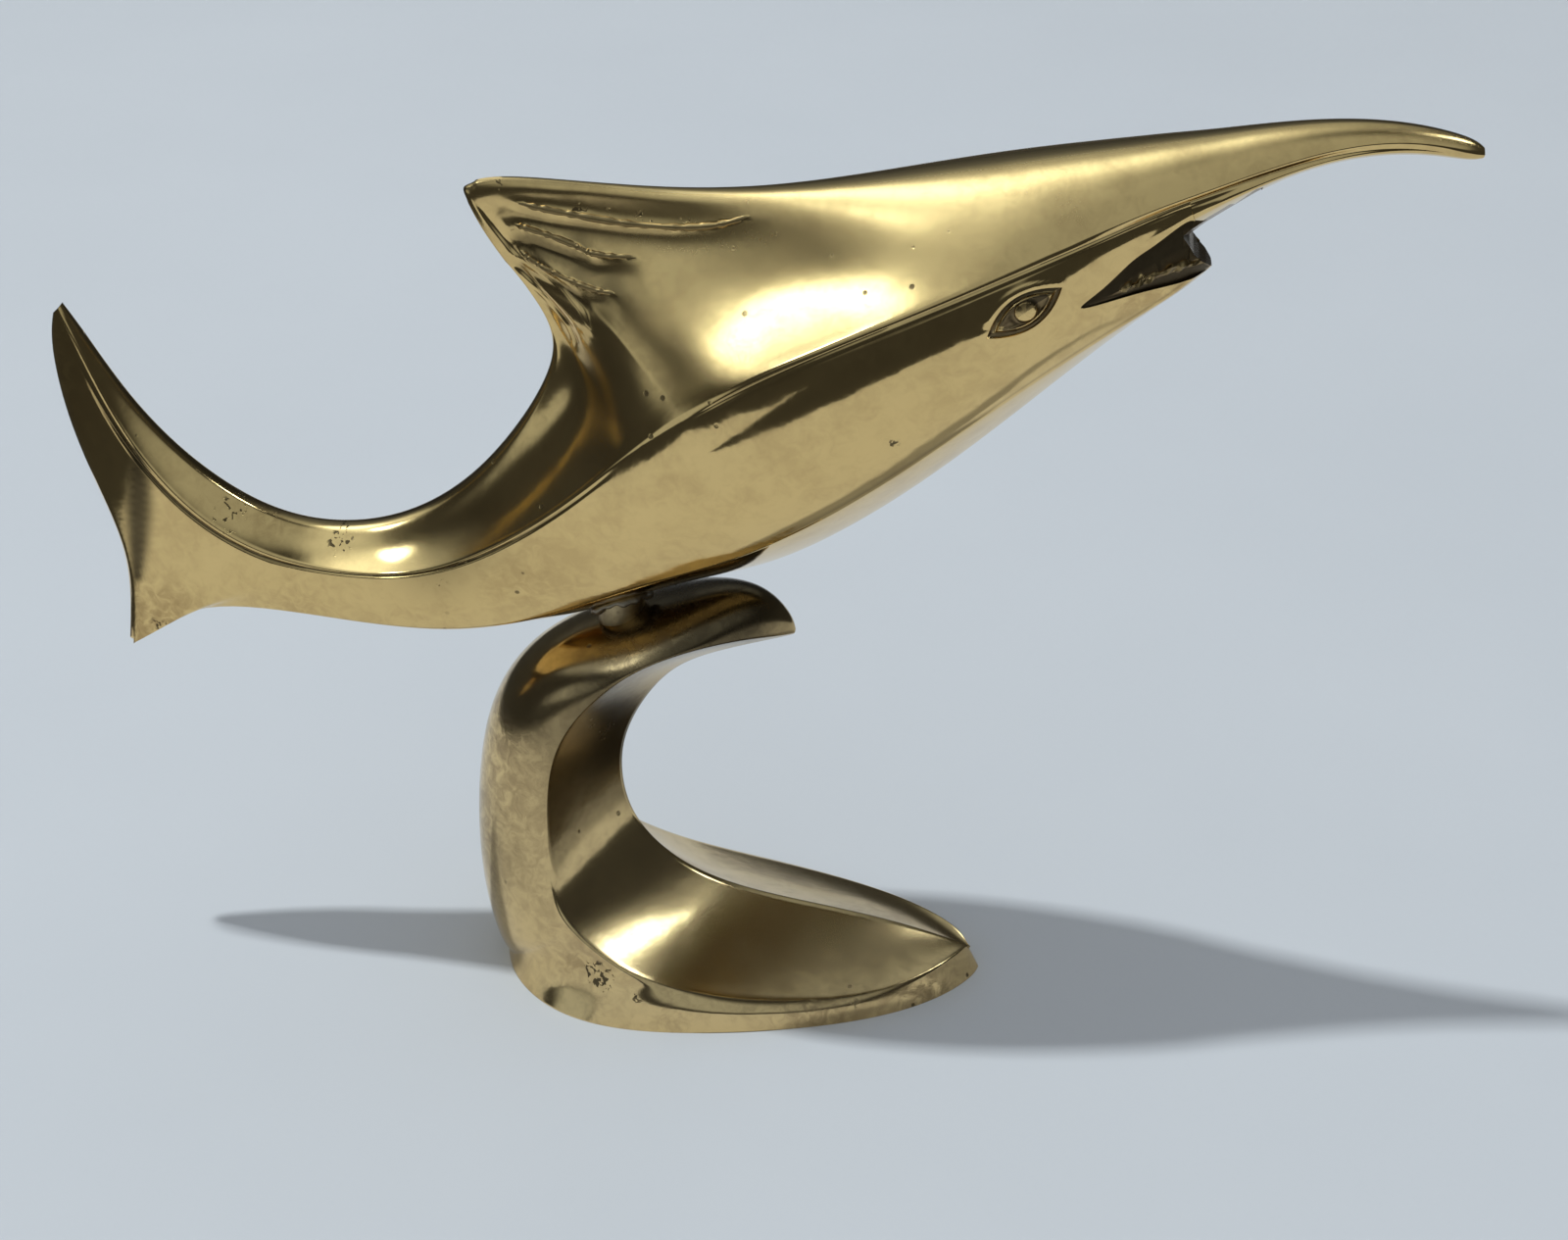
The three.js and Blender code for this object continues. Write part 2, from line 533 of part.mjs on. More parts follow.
// The bead runs round the post just under the belly and follows it
function makeBead() {
  const beadRadius = (POST_DIAMETER + BEAD_DIAMETER) / 2 + CLEARANCE;
  const drop = (BEAD_DIAMETER / 2 + CLEARANCE) * BELLY_STEEPNESS;
  const bead = new THREE.TorusGeometry(beadRadius, BEAD_DIAMETER / 2, BEAD_SIDES, BEAD_STEPS);
  const heights = Array.from({ length: BEAD_STEPS }, (_, i) => {
    const angle = (i / BEAD_STEPS) * Math.PI * 2;
    const below = new THREE.Vector3(POST_X + beadRadius * Math.cos(angle), beadRadius * Math.sin(angle), 0);
    return firstHit(bareFish, below, new THREE.Vector3(0, 0, 1)).z - drop;
  });
  const at = bead.attributes.position;
  for (let i = 0; i < at.count; i += 1) {
    const segment = i % (BEAD_STEPS + 1) % BEAD_STEPS;
    at.setXYZ(i, at.getX(i) + POST_X, at.getY(i), at.getZ(i) + heights[segment]);
  }
  return solidFrom(bead);
}

const brass = (color, roughness) => new THREE.MeshStandardMaterial({ color, roughness, metalness: 1 });

function named(name, geometry, material) {
  const mesh = new THREE.Mesh(geometry, material);
  mesh.name = name;
  return mesh;
}

const figurine = new THREE.Group();
figurine.add(named('fish_casting', geometryFrom(fishSolid), brass(BRASS_POLISHED, 0.25)));
figurine.add(named('wave_stand', geometryFrom(standSolid), brass(BRASS_SATIN, 0.3)));
figurine.add(named('mounting_post', geometryFrom(postSolid), brass(BRASS_DULL, 0.4)));
figurine.add(named('braze_bead', geometryFrom(makeBead()), brass(BRAZE_PALE, 0.55)));

export default figurine;
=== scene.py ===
# Brass leaping billfish on a breaking-wave stand: the fine castings, their finish and the studio.
# The drawings are in millimetres, in the object's own frame, and become metres as they are used.
import math

import bmesh
import bpy
import numpy as np
from mathutils import Matrix, Vector


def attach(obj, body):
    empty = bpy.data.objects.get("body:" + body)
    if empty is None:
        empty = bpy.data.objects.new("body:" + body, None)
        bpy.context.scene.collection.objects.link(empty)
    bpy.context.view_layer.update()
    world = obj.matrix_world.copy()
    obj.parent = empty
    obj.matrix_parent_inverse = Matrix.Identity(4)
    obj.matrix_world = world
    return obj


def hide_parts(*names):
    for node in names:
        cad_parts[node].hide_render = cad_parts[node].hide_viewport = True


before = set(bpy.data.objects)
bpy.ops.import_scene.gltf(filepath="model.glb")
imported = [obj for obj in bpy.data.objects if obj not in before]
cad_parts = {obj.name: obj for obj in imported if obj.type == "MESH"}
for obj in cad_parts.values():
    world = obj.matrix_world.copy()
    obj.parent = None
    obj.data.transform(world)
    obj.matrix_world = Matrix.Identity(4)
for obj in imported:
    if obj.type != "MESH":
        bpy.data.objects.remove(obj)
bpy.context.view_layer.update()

MM = 0.001
# Points nearer than this are one point, in metres: in a sheet that closes, and after a cut
SKIN_MERGE = 2e-6
CUT_MERGE = 5e-7
# Zones of the finish that the pieces carry, from 0 to 1; the hollow zone is painted shade
ZONES = ("satin", "hollow", "stain", "pitted")

# ---- The drawing of the fish: near half, stations from tail to bill ----
# The drawing is scaled and lifted a little, so that the belly clears the stand by the gap of the post
FISH_SCALE = 0.999
FISH_LIFT = 0.17
HALF_FISH = 17.2
FIN_EDGE = 1.1
FLARE_POWER = 2.2
# Swell of the side, as a share of its height: nearly flat at the tail and at the jaw
END_SWELL = 0.03
SIDE_SWELL = 0.12
FULLER_STATIONS = (8, 17)
FLATTER_STATIONS = (23.5, 28)
BELLY_SWELL = 0.035
# The round of the back is part of a circle with its middle this far below the crease
CREASE_DROP = 0.8
JAW_STATION = 28
FIN_TIP_STATION = 17
LOBE_STATION = 6

# Back outline [x, z] on the mid-plane
BACK_LINE = [
    (-99.5, 112.7), (-96.2, 106.6), (-91.4, 97.5), (-85.5, 90.1), (-79.3, 84.2), (-73.9, 80.6),
    (-68.5, 78.3), (-62.7, 77.3), (-55.4, 77.9), (-47.5, 80.8), (-39.7, 86.6), (-33.3, 94.4),
    (-28.6, 102.4), (-26.1, 108.9), (-27.5, 114.4), (-31.6, 120.7), (-35.9, 127.4), (-38.6, 133.2),
    (-33.5, 134.8), (-23.1, 134.8), (-10.8, 134.1), (1.4, 134.6), (13.6, 136.2), (26.1, 138.6),
    (38.1, 141), (48, 142.7), (54.4, 143.8), (58.8, 144.6), (62.6, 145.2), (66.5, 145.8),
    (72.1, 146.8), (79.4, 147.9), (86.7, 148.2), (93.9, 147.7), (99.4, 146.3), (101.6, 145),
]
# Crease between back and side [x, z, share of the half width]
LATERAL_LINE = [
    (-99.9, 112, 0.04), (-97, 106.1, 0.11), (-93.5, 96.5, 0.155), (-87.8, 87, 0.215),
    (-81.3, 80.4, 0.27), (-75.2, 76.5, 0.305), (-68.9, 74, 0.33), (-62, 72.8, 0.36),
    (-53, 72.8, 0.41), (-45.1, 74.7, 0.475), (-36, 79.7, 0.58), (-27.5, 86.4, 0.7),
    (-21.5, 92.1, 0.795), (-17.5, 96.3, 0.845), (-14.3, 99.4, 0.88), (-11.4, 102, 0.905),
    (-8.6, 104.4, 0.93), (-5.6, 106.8, 0.955), (-1.3, 109.9, 0.98), (3.8, 113.2, 0.995),
    (9.9, 116.7, 1), (16.9, 120.2, 0.985), (24.9, 123.9, 0.945), (33.7, 127.8, 0.87),
    (42, 131.3, 0.77), (49.7, 134.4, 0.65), (55, 136.4, 0.57), (59, 137.9, 0.51),
    (62.6, 139.1, 0.455), (66.5, 140.4, 0.4), (72.2, 142.3, 0.325), (79.3, 144.6, 0.245),
    (86.7, 146.1, 0.185), (93.9, 146.1, 0.135), (99.3, 145, 0.09), (101.7, 144.3, 0.035),
]
# Crease between side and belly [x, z, share of the half width], from the tail to the jaw
LOWER_LINE = [
    (-100.1, 111.4, 0.035), (-100.6, 105.1, 0.05), (-100.1, 94.6, 0.055), (-97.7, 83.9, 0.065),
    (-94.8, 74.8, 0.075), (-94, 65.5, 0.075), (-95.1, 54, 0.06), (-84.3, 61.4, 0.125),
    (-70.5, 63.6, 0.24), (-56.9, 62.7, 0.32), (-43.7, 62.7, 0.36), (-32.4, 65.4, 0.4),
    (-23.3, 70, 0.49), (-16.4, 73.4, 0.59), (-11.1, 76.3, 0.655), (-7, 78.3, 0.69),
    (-3.4, 80, 0.715), (0.2, 81.6, 0.735), (4.8, 84, 0.745), (10.4, 87.3, 0.75),
    (16.4, 91.2, 0.74), (22.4, 95.4, 0.715), (29.4, 100.6, 0.67), (36.2, 105.9, 0.6),
    (43, 110.9, 0.52), (49.8, 115.6, 0.41), (56.4, 119.9, 0.31), (62, 123.5, 0.22),
    (66.2, 127.4, 0.16),
]
# Keel [x, z] on the mid-plane: trailing edge of the tail, lower lobe, belly and jaw
KEEL_LINE = [
    (-100.5, 111), (-101.6, 104.7), (-101, 94.1), (-98.7, 83.6), (-95.6, 74.9), (-94.9, 65.1),
    (-96.5, 52.2), (-85.4, 59.9), (-71.7, 61.9), (-58.1, 60.7), (-44.9, 60.5), (-34.5, 61.1),
    (-25.7, 63.2), (-18.5, 65.9), (-12.9, 68.1), (-8.3, 69.8), (-4.2, 71.2), (-0.1, 72.5),
    (5, 74.3), (10, 76.8), (16.6, 81), (23.6, 86.1), (31.6, 92.9), (39.1, 100),
    (46, 106.7), (52.5, 112.9), (58.3, 118.4), (63.6, 122.7), (67.3, 126.4),
]
# The same two lines along the bill
BILL_LOWER_LINE = [
    (63.6, 135.9, 0.392), (66.9, 137.9, 0.37), (72.6, 140.7, 0.31), (79.5, 143.2, 0.235),
    (86.8, 144.8, 0.17), (93.9, 144.9, 0.125), (99.2, 144, 0.085), (101.6, 143.8, 0.03),
]
BILL_KEEL_LINE = [
    (64.6, 131.6), (67.5, 133.9), (72.6, 137.7), (79.4, 141), (86.7, 143.1), (93.7, 143.7),
    (99, 143.2), (101.3, 143.4),
]
# How round the back is at each station: 0 a blade that flares out, 1 a full round
BACK_ROUNDNESS = [
    0.8, 0.7, 0.6, 0.55, 0.5, 0.5, 0.5, 0.5, 0.5, 0.45, 0.4, 0.3, 0.2, 0.05, 0, 0, 0, 0,
    0, 0, 0.08, 0.3, 0.6, 0.85, 1, 1, 1, 1, 1, 1, 1, 1, 1, 1, 1, 1,
]
# How many columns of faces go between two stations: fine over the fin, the eye and the mouth
FISH_COLUMNS = [(0, 6, 40), (6, 13, 42), (13, 20, 92), (20, 23.3, 22), (23.3, 25, 42), (25, 28, 40)]
BILL_COLUMNS = [(28, 35, 52)]

# ---- The drawing of the stand: near half, stations from the crest of the wave to the toe ----
HALF_FOOT = 21.55
OUTER_LINE = [
    (9, 62.9, 0), (8, 65.6, 0), (4.6, 69, 0), (-1, 70.2, 0), (-9.3, 67.3, 0),
    (-18, 63.7, 0), (-26, 60.9, 0), (-33.6, 56.2, 0), (-38.2, 47.2, 0), (-40.3, 39, 0),
    (-41.7, 28.5, 0), (-41.8, 18.5, 0), (-41.1, 10.5, 0), (-39.8, 4.4, 0), (-38.4, 0, 0),
    (-35.9, 0, 0.42), (-29, 0, 0.84), (-18, 0, 0.985), (-6, 0, 0.995), (7, 0, 0.905),
    (18.5, 0, 0.76), (27.5, 0, 0.58), (34.3, 0, 0.345), (37.9, 0, 0.13), (39, 0, 0),
]
RIM_LINE = [
    (8.9, 62.4, 0.015), (6.7, 62.8, 0.1), (2.5, 63.9, 0.245), (-3.5, 64.1, 0.39), (-8.9, 63, 0.5),
    (-14, 61.3, 0.565), (-18.5, 57.8, 0.59), (-23, 52.6, 0.585), (-26.4, 47, 0.576),
    (-28, 41, 0.585), (-28.6, 34, 0.61), (-28.4, 26.7, 0.66), (-27.5, 21.4, 0.715),
    (-26.2, 18.1, 0.76), (-24.2, 15.5, 0.805), (-21, 12.9, 0.855), (-16.5, 10, 0.89),
    (-10.5, 7.5, 0.905), (-1.5, 5.7, 0.885), (8.5, 4.6, 0.82), (17.5, 4.1, 0.71),
    (25, 4, 0.565), (31.3, 4.5, 0.36), (35.4, 4.9, 0.15), (37, 4.3, 0.014),
]
RIDGE_LINE = [
    (8.7, 62), (6.8, 61.3), (1.4, 59.6), (-4.7, 57.4), (-9, 55.2), (-12.3, 51.8),
    (-15.1, 47.6), (-17, 43.8), (-18.2, 39.4), (-18.5, 36), (-18.2, 31.6), (-17.4, 28),
    (-15.8, 24.8), (-13.8, 22), (-11.5, 19.6), (-8, 17), (-3.5, 14.6), (2.5, 12.6),
    (9.5, 11.2), (16.5, 9.9), (23, 8.5), (28.9, 7), (33.6, 5.4), (36.4, 4.4), (37.6, 4),
]
WRAP = [
    1, 1, 1, 1, 1, 1, 1, 1, 1, 1, 1, 1, 1, 1, 0.95, 0.7, 0.45, 0.25, 0.15, 0.12, 0.12, 0.12, 0.15,
    0.2, 0.2,
]
WRAP_ANGLE = math.radians(78)
# How late the wall of the foot leans in towards the rim: the greater, the later
WALL_STEEPNESS = 5.0
INNER_HOLLOW = 0.7
RIM_RADIUS = 0.6
BASE_CORNER_STATION = 14

# ---- Details of the fish, as lines on its side view [x, z] ----
# Edge of the open mouth [x, half width of its floor, z], and the ridge that its floor rises to
MOUTH_OUTLINE = [
    (49, 10.7, 123.8), (51.7, 9, 126.4), (55.5, 6.9, 130.2), (58.6, 5, 132.4),
    (62.5, 2.9, 135.3), (64.4, 2.2, 134.6), (67.2, 1.6, 132), (68.6, 1.3, 127.8),
    (66.6, 1, 126), (63, 3.2, 125.1), (58.5, 5.6, 124.7), (53.4, 8.4, 124.1),
]
MOUTH_RIDGE = [
    (52.4, 9.2, 124.7), (53.5, 8.75, 125.2), (56, 7.6, 126.2), (58.8, 6.3, 127.3),
    (61.8, 5, 128.1), (63.6, 4.1, 128.4), (65.4, 3.2, 128.5), (66.2, 2.6, 128),
    (65.4, 2.9, 127.5), (63, 4.1, 127.2), (58.8, 6.2, 126.3), (54.4, 8.4, 124.9),
]
JAW_GAP = [
    (63.4, 130.2), (64, 129.2), (64.8, 128.2), (65.8, 127.4), (66.6, 126.5), (66.9, 125.6),
    (66.6, 124.4), (74, 124.4), (74, 140), (62.6, 140), (62.4, 131.6),
]
# Underside of the bill [x, z, how steeply it rises to both sides]
PALATE_LINE = [
    (72.5, 137.6, 0.5), (69, 135, 0.57), (65.4, 132.4, 0.62), (63.4, 130.6, 0.63), (61.5, 128.6, 0.63),
]
GAP_DEPTH = 19.2
EYE_CENTRE = (41.4, 124.1)
EYE_LENGTH = 12.0
EYE_HEIGHT = 5.4
EYE_TILT = math.radians(35)
# The upper lid: how far it lies outside the engraving, how far it stands out, its width
LID_PLACE = 0.75
LID_RISE = 0.16
LID_WIDTH = 0.55
FIN_RAYS = [
    [
        (-33, 131.9), (-27.3, 130.9), (-22.7, 130.2), (-15.8, 129.4), (-7.7, 129.3), (-1.6, 130.2),
        (4.4, 132.2),
    ],
    [(-31.2, 128.2), (-28.2, 127.6), (-22, 125.9), (-19.1, 125), (-12, 124.8)],
    [(-30.9, 124.7), (-28.3, 123.1), (-25.4, 121.9), (-20.3, 120.5), (-15.4, 120)],
]
RAY_SIZES = (0.5, 0.44, 0.40)
# The swell that each ray stands on, and the flute under it: rise or depth, width, distance from the ray
RAY_SWELL = 0.22
RAY_SWELL_WIDTH = 0.8
FLUTE_DEPTHS = (0.3, 0.8, 0.7)
FLUTE_WIDTH = 1.5
FLUTE_PLACE = 2.1
RIDGE_STEPS = 70
RIDGE_SIDES = 10
RIDGE_ROUGHNESS = 0.22
# Front edge of the raised band along the rear of the fin, and the groove down its middle
REAR_EDGE = [
    (-37.9, 133.2), (-34.6, 128.6), (-31.2, 124.1), (-27.7, 121.9), (-23.6, 119.5), (-20.9, 117.2),
    (-19.7, 114.5), (-21.6, 110.9),
]
REAR_GROOVE = [
    (-31.4, 122.5), (-28.8, 119.9), (-25.8, 117.2), (-23.2, 114.2), (-22.3, 111.7), (-22.5, 109.6),
]
REAR_RISE = 0.45
# Where the band rises and where it falls again, behind its front edge
REAR_BAND = (-0.35, 0.35, 2.2, 4)
REAR_GROOVE_DEPTH = 0.35
REAR_GROOVE_WIDTH = 0.42
# The leaf-shaped painted shade where the lobes of the tail meet, standing for the shade of a hollow
# there
TAIL_LEAF = [(-89.6, 90.0), (-90.0, 84.0), (-91.0, 77.5), (-93.0, 66.0)]
TAIL_LEAF_HALF = 2.4
# Depth of the engraved eye over the distance from the edge of its lids
EYE_PROFILE = (
    (0, 0.12, 0.4, 0.7, 0.85, 1, 1.15, 1.35, 2.7),
    (0, 0.35, 0.62, 0.5, 0.14, 0.12, 0.42, 0.5, 0.5),
)
# Faces of the eye deeper than this take the second finish, the darker brass of painted shade
EYE_SHADE_DEPTH = 0.3
# The pupil: its place along the eye, the radius, width and depth of the groove round it, its own depth
PUPIL_PLACE = 0.2
PUPIL_GROOVE = (1.95, 0.3, 0.62)
PUPIL_DEPTH = 0.10
# The lumpy casting seam along the ridge of the mouth's floor [x, half width, z]
SCAR_LINE = [
    (54, 8.3, 125.3), (56.4, 7.15, 126.3), (59, 6, 127), (62, 4.65, 127.8), (65, 3.2, 128.1),
]
SCAR_RADIUS = 0.6
# Its lumps: how often along it, how often round it, where each set starts
SCAR_LUMPS = ((9, 2, 0.4), (19, 3, 1.9), (37, 1, 4.1))
SCAR_LUMP_SIZE = 0.3
# Upper edge of the lip band above the mouth
LIP_LINE = [
    (50.9, 126.3), (51.7, 127.5), (52.8, 129.3), (56.2, 132), (58.9, 133.8), (61.6, 135.4), (66, 138.2),
]
LIP_RISE = 0.08
LIP_WIDTH = 0.5

# Sharp tips that are worn round [x, z, radius]
WORN_TIPS = ((-99.9, 112.2, 2.2), (-96.5, 52.4, 2.0), (-38.6, 133.2, 2.4))
WEAR_PASSES = 8

# Brown marks on the castings [x, z, radius, strength]; the mark on the upper lobe of the tail at (-98,
# 98) is painted shade, for the dark room that lobe mirrors
FISH_STAINS_AND_SHADE = (
    (-93.5, 57, 6.5, 1), (-86, 62, 5, 0.8), (-68, 63, 7, 0.5), (-48, 63, 6, 0.35),
    (-98, 98, 9, 0.6), (-70, 79, 3.5, 0.9), (-40, 79.5, 1.5, 0.8), (-30, 76, 7, 0.35),
    (55, 123, 4, 0.5), (62, 124, 4, 0.7),
)
# Painted shade in the hollows of the fish: the flutes under the fin's rays, the trough below the fin
# and the tail; in the flutes it also stands for dark patina [x, z, radius, strength]
FISH_SHADES = (
    (-28, 128, 2.6, 0.65), (-21.5, 127.2, 2.4, 0.65), (-15.5, 127, 2.2, 0.3), (-27, 124.2, 2.4, 0.8),
    (-21.5, 122.8, 2.6, 0.8), (-16.5, 121.8, 2.4, 0.6), (-18, 117.5, 3, 0.5), (-13.5, 119.5, 3, 0.2),
    (-19, 109.5, 5, 0.45), (-18, 101, 5, 0.5), (-45, 76.5, 6, 0.5), (-38, 82, 6, 0.4),
    (-95.5, 76, 4, 0.3),
)
# Clusters of small pits [x, z, radius, strength]
FISH_PITS = (
    (-59.8, 76, 2.2, 1), (-76.4, 79.6, 2.6, 1), (-21.5, 130.7, 1.6, 0.8), (-17, 130.2, 1.6, 0.9),
    (-12, 130.2, 1.6, 0.9), (-6, 130.4, 1.6, 0.7), (-90, 58.5, 3, 0.6), (-33, 134, 1.5, 0.6),
    (24, 104, 1.6, 0.7), (0.2, 127.7, 0.9, 0.7), (-43, 73, 1.5, 0.7), (-28, 66.5, 2, 0.5),
)
STAND_STAINS = (
    (14, 2, 5.5, 1), (30, 2.5, 5, 0.9), (-24, 9, 5, 0.6), (-8, 3, 4, 0.5),
    (-14, 62, 9, 0.8), (2, 67, 9, 0.6), (-38, 28, 12, 0.7), (-36, 46, 9, 0.8),
)
# Painted shade on the stand: the crest under the fish, the upper column and its inner face, the hollow
# of the foot; on the crest near the braze it also stands for heat tarnish
STAND_SHADES = (
    (2, 67, 8, 1), (-10, 66, 8, 0.9), (-20, 60, 6, 0.6), (-30, 50, 6, 0.5),
    (-19, 50, 7, 0.9), (-20, 39, 7, 0.9), (-17, 30, 3, 0.3), (20, 8, 9, 0.2),
    (8, 10, 8, 0.1), (-39, 25, 9, 0.25),
)
STAND_PITS = (
    (-20.3, 8, 3, 1), (-14, 6, 2, 0.6), (20, 3, 2.5, 0.5), (-36, 44, 4, 0.4),
)

# ---- The post between the castings ----
POST_X = -17.7
POST_RADIUS = 3.7
POST_SIDES = 64
POST_FOOT = 55.9
POST_HEAD = 74.2
BEAD_RADIUS = 0.6
# Its waves: how often round it, where they start, their share of its size
BEAD_WAVES = ((5, 1, 0.25), (13, 0, 0.18))


def natural(points):
    """A curve without kinks through points that lie one station apart."""
    count = len(points)
    system = np.eye(count)
    bends = np.zeros_like(points)
    for i in range(1, count - 1):
        system[i, i - 1:i + 2] = 1, 4, 1
        bends[i] = 6 * (points[i - 1] - 2 * points[i] + points[i + 1])
    bends = np.linalg.solve(system, bends)

    def at(station):
        i = np.clip(np.floor(station).astype(int), 0, count - 2)
        t = (station - i)[:, None]
        start, end = points[i], points[i + 1]
        bend = ((1 - t) ** 3 - (1 - t)) * bends[i] / 6 + (t ** 3 - t) * bends[i + 1] / 6
        return start * (1 - t) + end * t + bend

    return at


def smooth_line(points, corners=(), first=0, passes=2):
    """A fair curve near the drawn points; it keeps its ends and its corners exactly."""
    points = np.array([p if isinstance(p, tuple) else (p,) for p in points], float)
    knots = [0, *corners, len(points) - 1]
    spans = []
    for start, end in zip(knots, knots[1:]):
        part = points[start:end + 1].copy()
        for _ in range(passes):
            wobble = part[:-4] - 4 * part[1:-3] + 6 * part[2:-2] - 4 * part[3:-1] + part[4:]
            part[2:-2] -= wobble / 16
        spans.append((start, end, natural(part)))

    def at(station):
        station = np.asarray(station, float) - first
        out = np.zeros((len(station), points.shape[1]))
        for start, end, curve in spans:
            inside = (station >= start) & (station <= end)
            out[inside] = curve(station[inside] - start)
        return out

    return at


def stations(spans):
    """Station numbers over several spans, each with its own count of columns."""
    parts = [np.linspace(start, end, count, endpoint=False) for start, end, count in spans]
    return np.append(np.concatenate(parts), spans[-1][1])


def between(a, b, t):
    return a + (b - a) * t


def lasting(value, start, full, fading, end):
    """Comes in softly, stays 1, and fades out softly."""
    return eased(value, start, full) * (1 - eased(value, fading, end))


def places(x, y, z):
    """Points from their three measures."""
    return np.stack([x, y, z], axis=-1)


def eased(value, start, end):
    """Goes softly from 0 at the start to 1 at the end."""
    t = np.clip((value - start) / (end - start), 0, 1)
    return t * t * (3 - 2 * t)


def strip(start, end, half_width, t):
    """Points of one strip of a section, from one guide line to the next; x and z go straight."""
    x, z = (between(start[:, i:i + 1], end[:, i:i + 1], t) for i in (0, 1))
    return places(x, half_width, z)


def eased_corner(before, corner, after, steps):
    """A small round in place of a corner, without its two end points."""
    t = (np.arange(1, steps) / steps)[None, :, None]
    return before * (1 - t) ** 2 + corner * 2 * t * (1 - t) + after * t ** 2


def reach(radius, length):
    """The share of a strip that the small round at its end takes up."""
    return np.minimum(0.25, radius / np.maximum(length, 1e-6))


def corner_points(line, half_width):
    """The corner of every section on a guide line [x, z]."""
    return places(line[:, 0], half_width, line[:, 1])[:, None, :]


def shares(start, end, count, crowding=1.0):
    """Rows of shares from start to end for every section, closer together near the start."""
    w = (np.arange(count + 1) / count) ** crowding
    return start[:, None] + (end - start)[:, None] * w[None, :]


def sheet(points, finish=()):
    """A fine grid of faces over rows of points, with its finish."""
    columns, rows = points.shape[0] - 1, points.shape[1] - 1
    bm = bmesh.new()
    bmesh.ops.create_grid(bm, x_segments=columns, y_segments=rows, size=0.5)
    layers = {key: bm.verts.layers.float.new(key) for key in ZONES}
    for v in bm.verts:
        i, j = round((v.co.x + 0.5) * columns), round((v.co.y + 0.5) * rows)
        v.co = Vector(points[i, j]) * MM
        for key in finish:
            v[layers[key]] = finish[key][i, j]
    return bm


def closed(name, bm):
    """Fills what is open and turns the faces outwards."""
    bmesh.ops.holes_fill(bm, edges=[e for e in bm.edges if e.is_boundary], sides=0)
    bmesh.ops.recalc_face_normals(bm, faces=bm.faces)
    return finished(name, bm)


def skin(name, points, finish):
    """A casting over rows of points of its near half, mirrored to the far half."""
    bm = sheet(points, finish)
    bmesh.ops.mirror(bm, geom=bm.verts[:] + bm.edges[:] + bm.faces[:], axis="Y", merge_dist=SKIN_MERGE)
    bmesh.ops.remove_doubles(bm, verts=bm.verts, dist=SKIN_MERGE)
    bmesh.ops.dissolve_degenerate(bm, dist=1e-6, edges=bm.edges)
    return closed(name, bm)


def tube(name, rings):
    """A closed body over rings of the same number of points."""
    bm = sheet(np.concatenate([rings, rings[:, :1]], axis=1))
    bmesh.ops.remove_doubles(bm, verts=bm.verts, dist=1e-7)
    return closed(name, bm)


def closed_curve(points, count):
    """A smooth closed line through the points."""
    size = len(points)
    curve = natural(np.array(points + points + points, float))
    return curve(np.linspace(size, 2 * size, count, endpoint=False))


def painted(points, marks):
    """A zone made of soft round marks [x, z, radius, strength]."""
    zone = np.zeros(points.shape[:2])
    for x, z, radius, strength in marks:
        zone += strength * hump(np.hypot(points[:, :, 0] - x, points[:, :, 2] - z), radius)
    return np.clip(zone, 0, 1)


def two_finishes(thing):
    """Makes room for two finishes, so that the faces can be told apart."""
    thing.data.materials.append(None)
    thing.data.materials.append(None)


def second_finish(thing):
    """Marks all faces of a cutter, so that what it leaves gets the second finish of the piece, the
    darker brass of painted shade.
    """
    two_finishes(thing)
    for face in thing.data.polygons:
        face.material_index = 1


def carved(piece, cutter, operation="DIFFERENCE"):
    """Cuts a shape out of a piece for good, or joins it on, and keeps the new edges crisp."""
    cut = piece.modifiers.new("cut", "BOOLEAN")
    cut.object, cut.operation, cut.solver = cutter, operation, "EXACT"
    bpy.context.view_layer.update()
    whole = piece.evaluated_get(bpy.context.evaluated_depsgraph_get())
    mesh = bpy.data.meshes.new_from_object(whole)
    piece.modifiers.clear()
    bm = bmesh.new()
    bm.from_mesh(mesh)
    bmesh.ops.remove_doubles(bm, verts=bm.verts, dist=CUT_MERGE)
    bmesh.ops.dissolve_degenerate(bm, dist=1e-7, edges=bm.edges)
    bmesh.ops.delete(bm, geom=[edge for edge in bm.edges if edge.is_wire], context="EDGES")
    for edge in bm.edges:
        edge.smooth = edge.calc_face_angle(0) < SHARP_ANGLE
    bm.to_mesh(mesh)
    bm.free()
    piece.data = mesh
    bpy.data.objects.remove(cutter)


def finished(name, bm, smooth=True):
    """Turns the shape into an object of the scene."""
    mesh = bpy.data.meshes.new(name)
    for face in bm.faces:
        face.smooth = smooth
    bm.to_mesh(mesh)
    bm.free()
    return placed(name, mesh)


def placed(name, data):
    """An object of the scene for a mesh, a lamp or a camera."""
    thing = bpy.data.objects.new(name, data)
    bpy.context.scene.collection.objects.link(thing)
    return thing


def line_distance(x, z, line):
    """How far each place is from a drawn line (above it counts up), and how far along it that is."""
    best = np.full(x.shape, 1e9)
    side = np.zeros(x.shape)
    along = np.zeros(x.shape)
    spans = list(zip(line, line[1:]))
    for i, ((ax, az), (bx, bz)) in enumerate(spans):
        dx, dz = bx - ax, bz - az
        share = np.clip(((x - ax) * dx + (z - az) * dz) / (dx * dx + dz * dz), 0, 1)
        away = np.hypot(x - ax - share * dx, z - az - share * dz)
        nearer = away < best
        best = np.where(nearer, away, best)
        side = np.where(nearer, np.sign((z - az) * dx - (x - ax) * dz), side)
        along = np.where(nearer, (i + share) / len(spans), along)
    return best * side, along


def hump(distance, width):
    return np.exp(-((distance / width) ** 2))


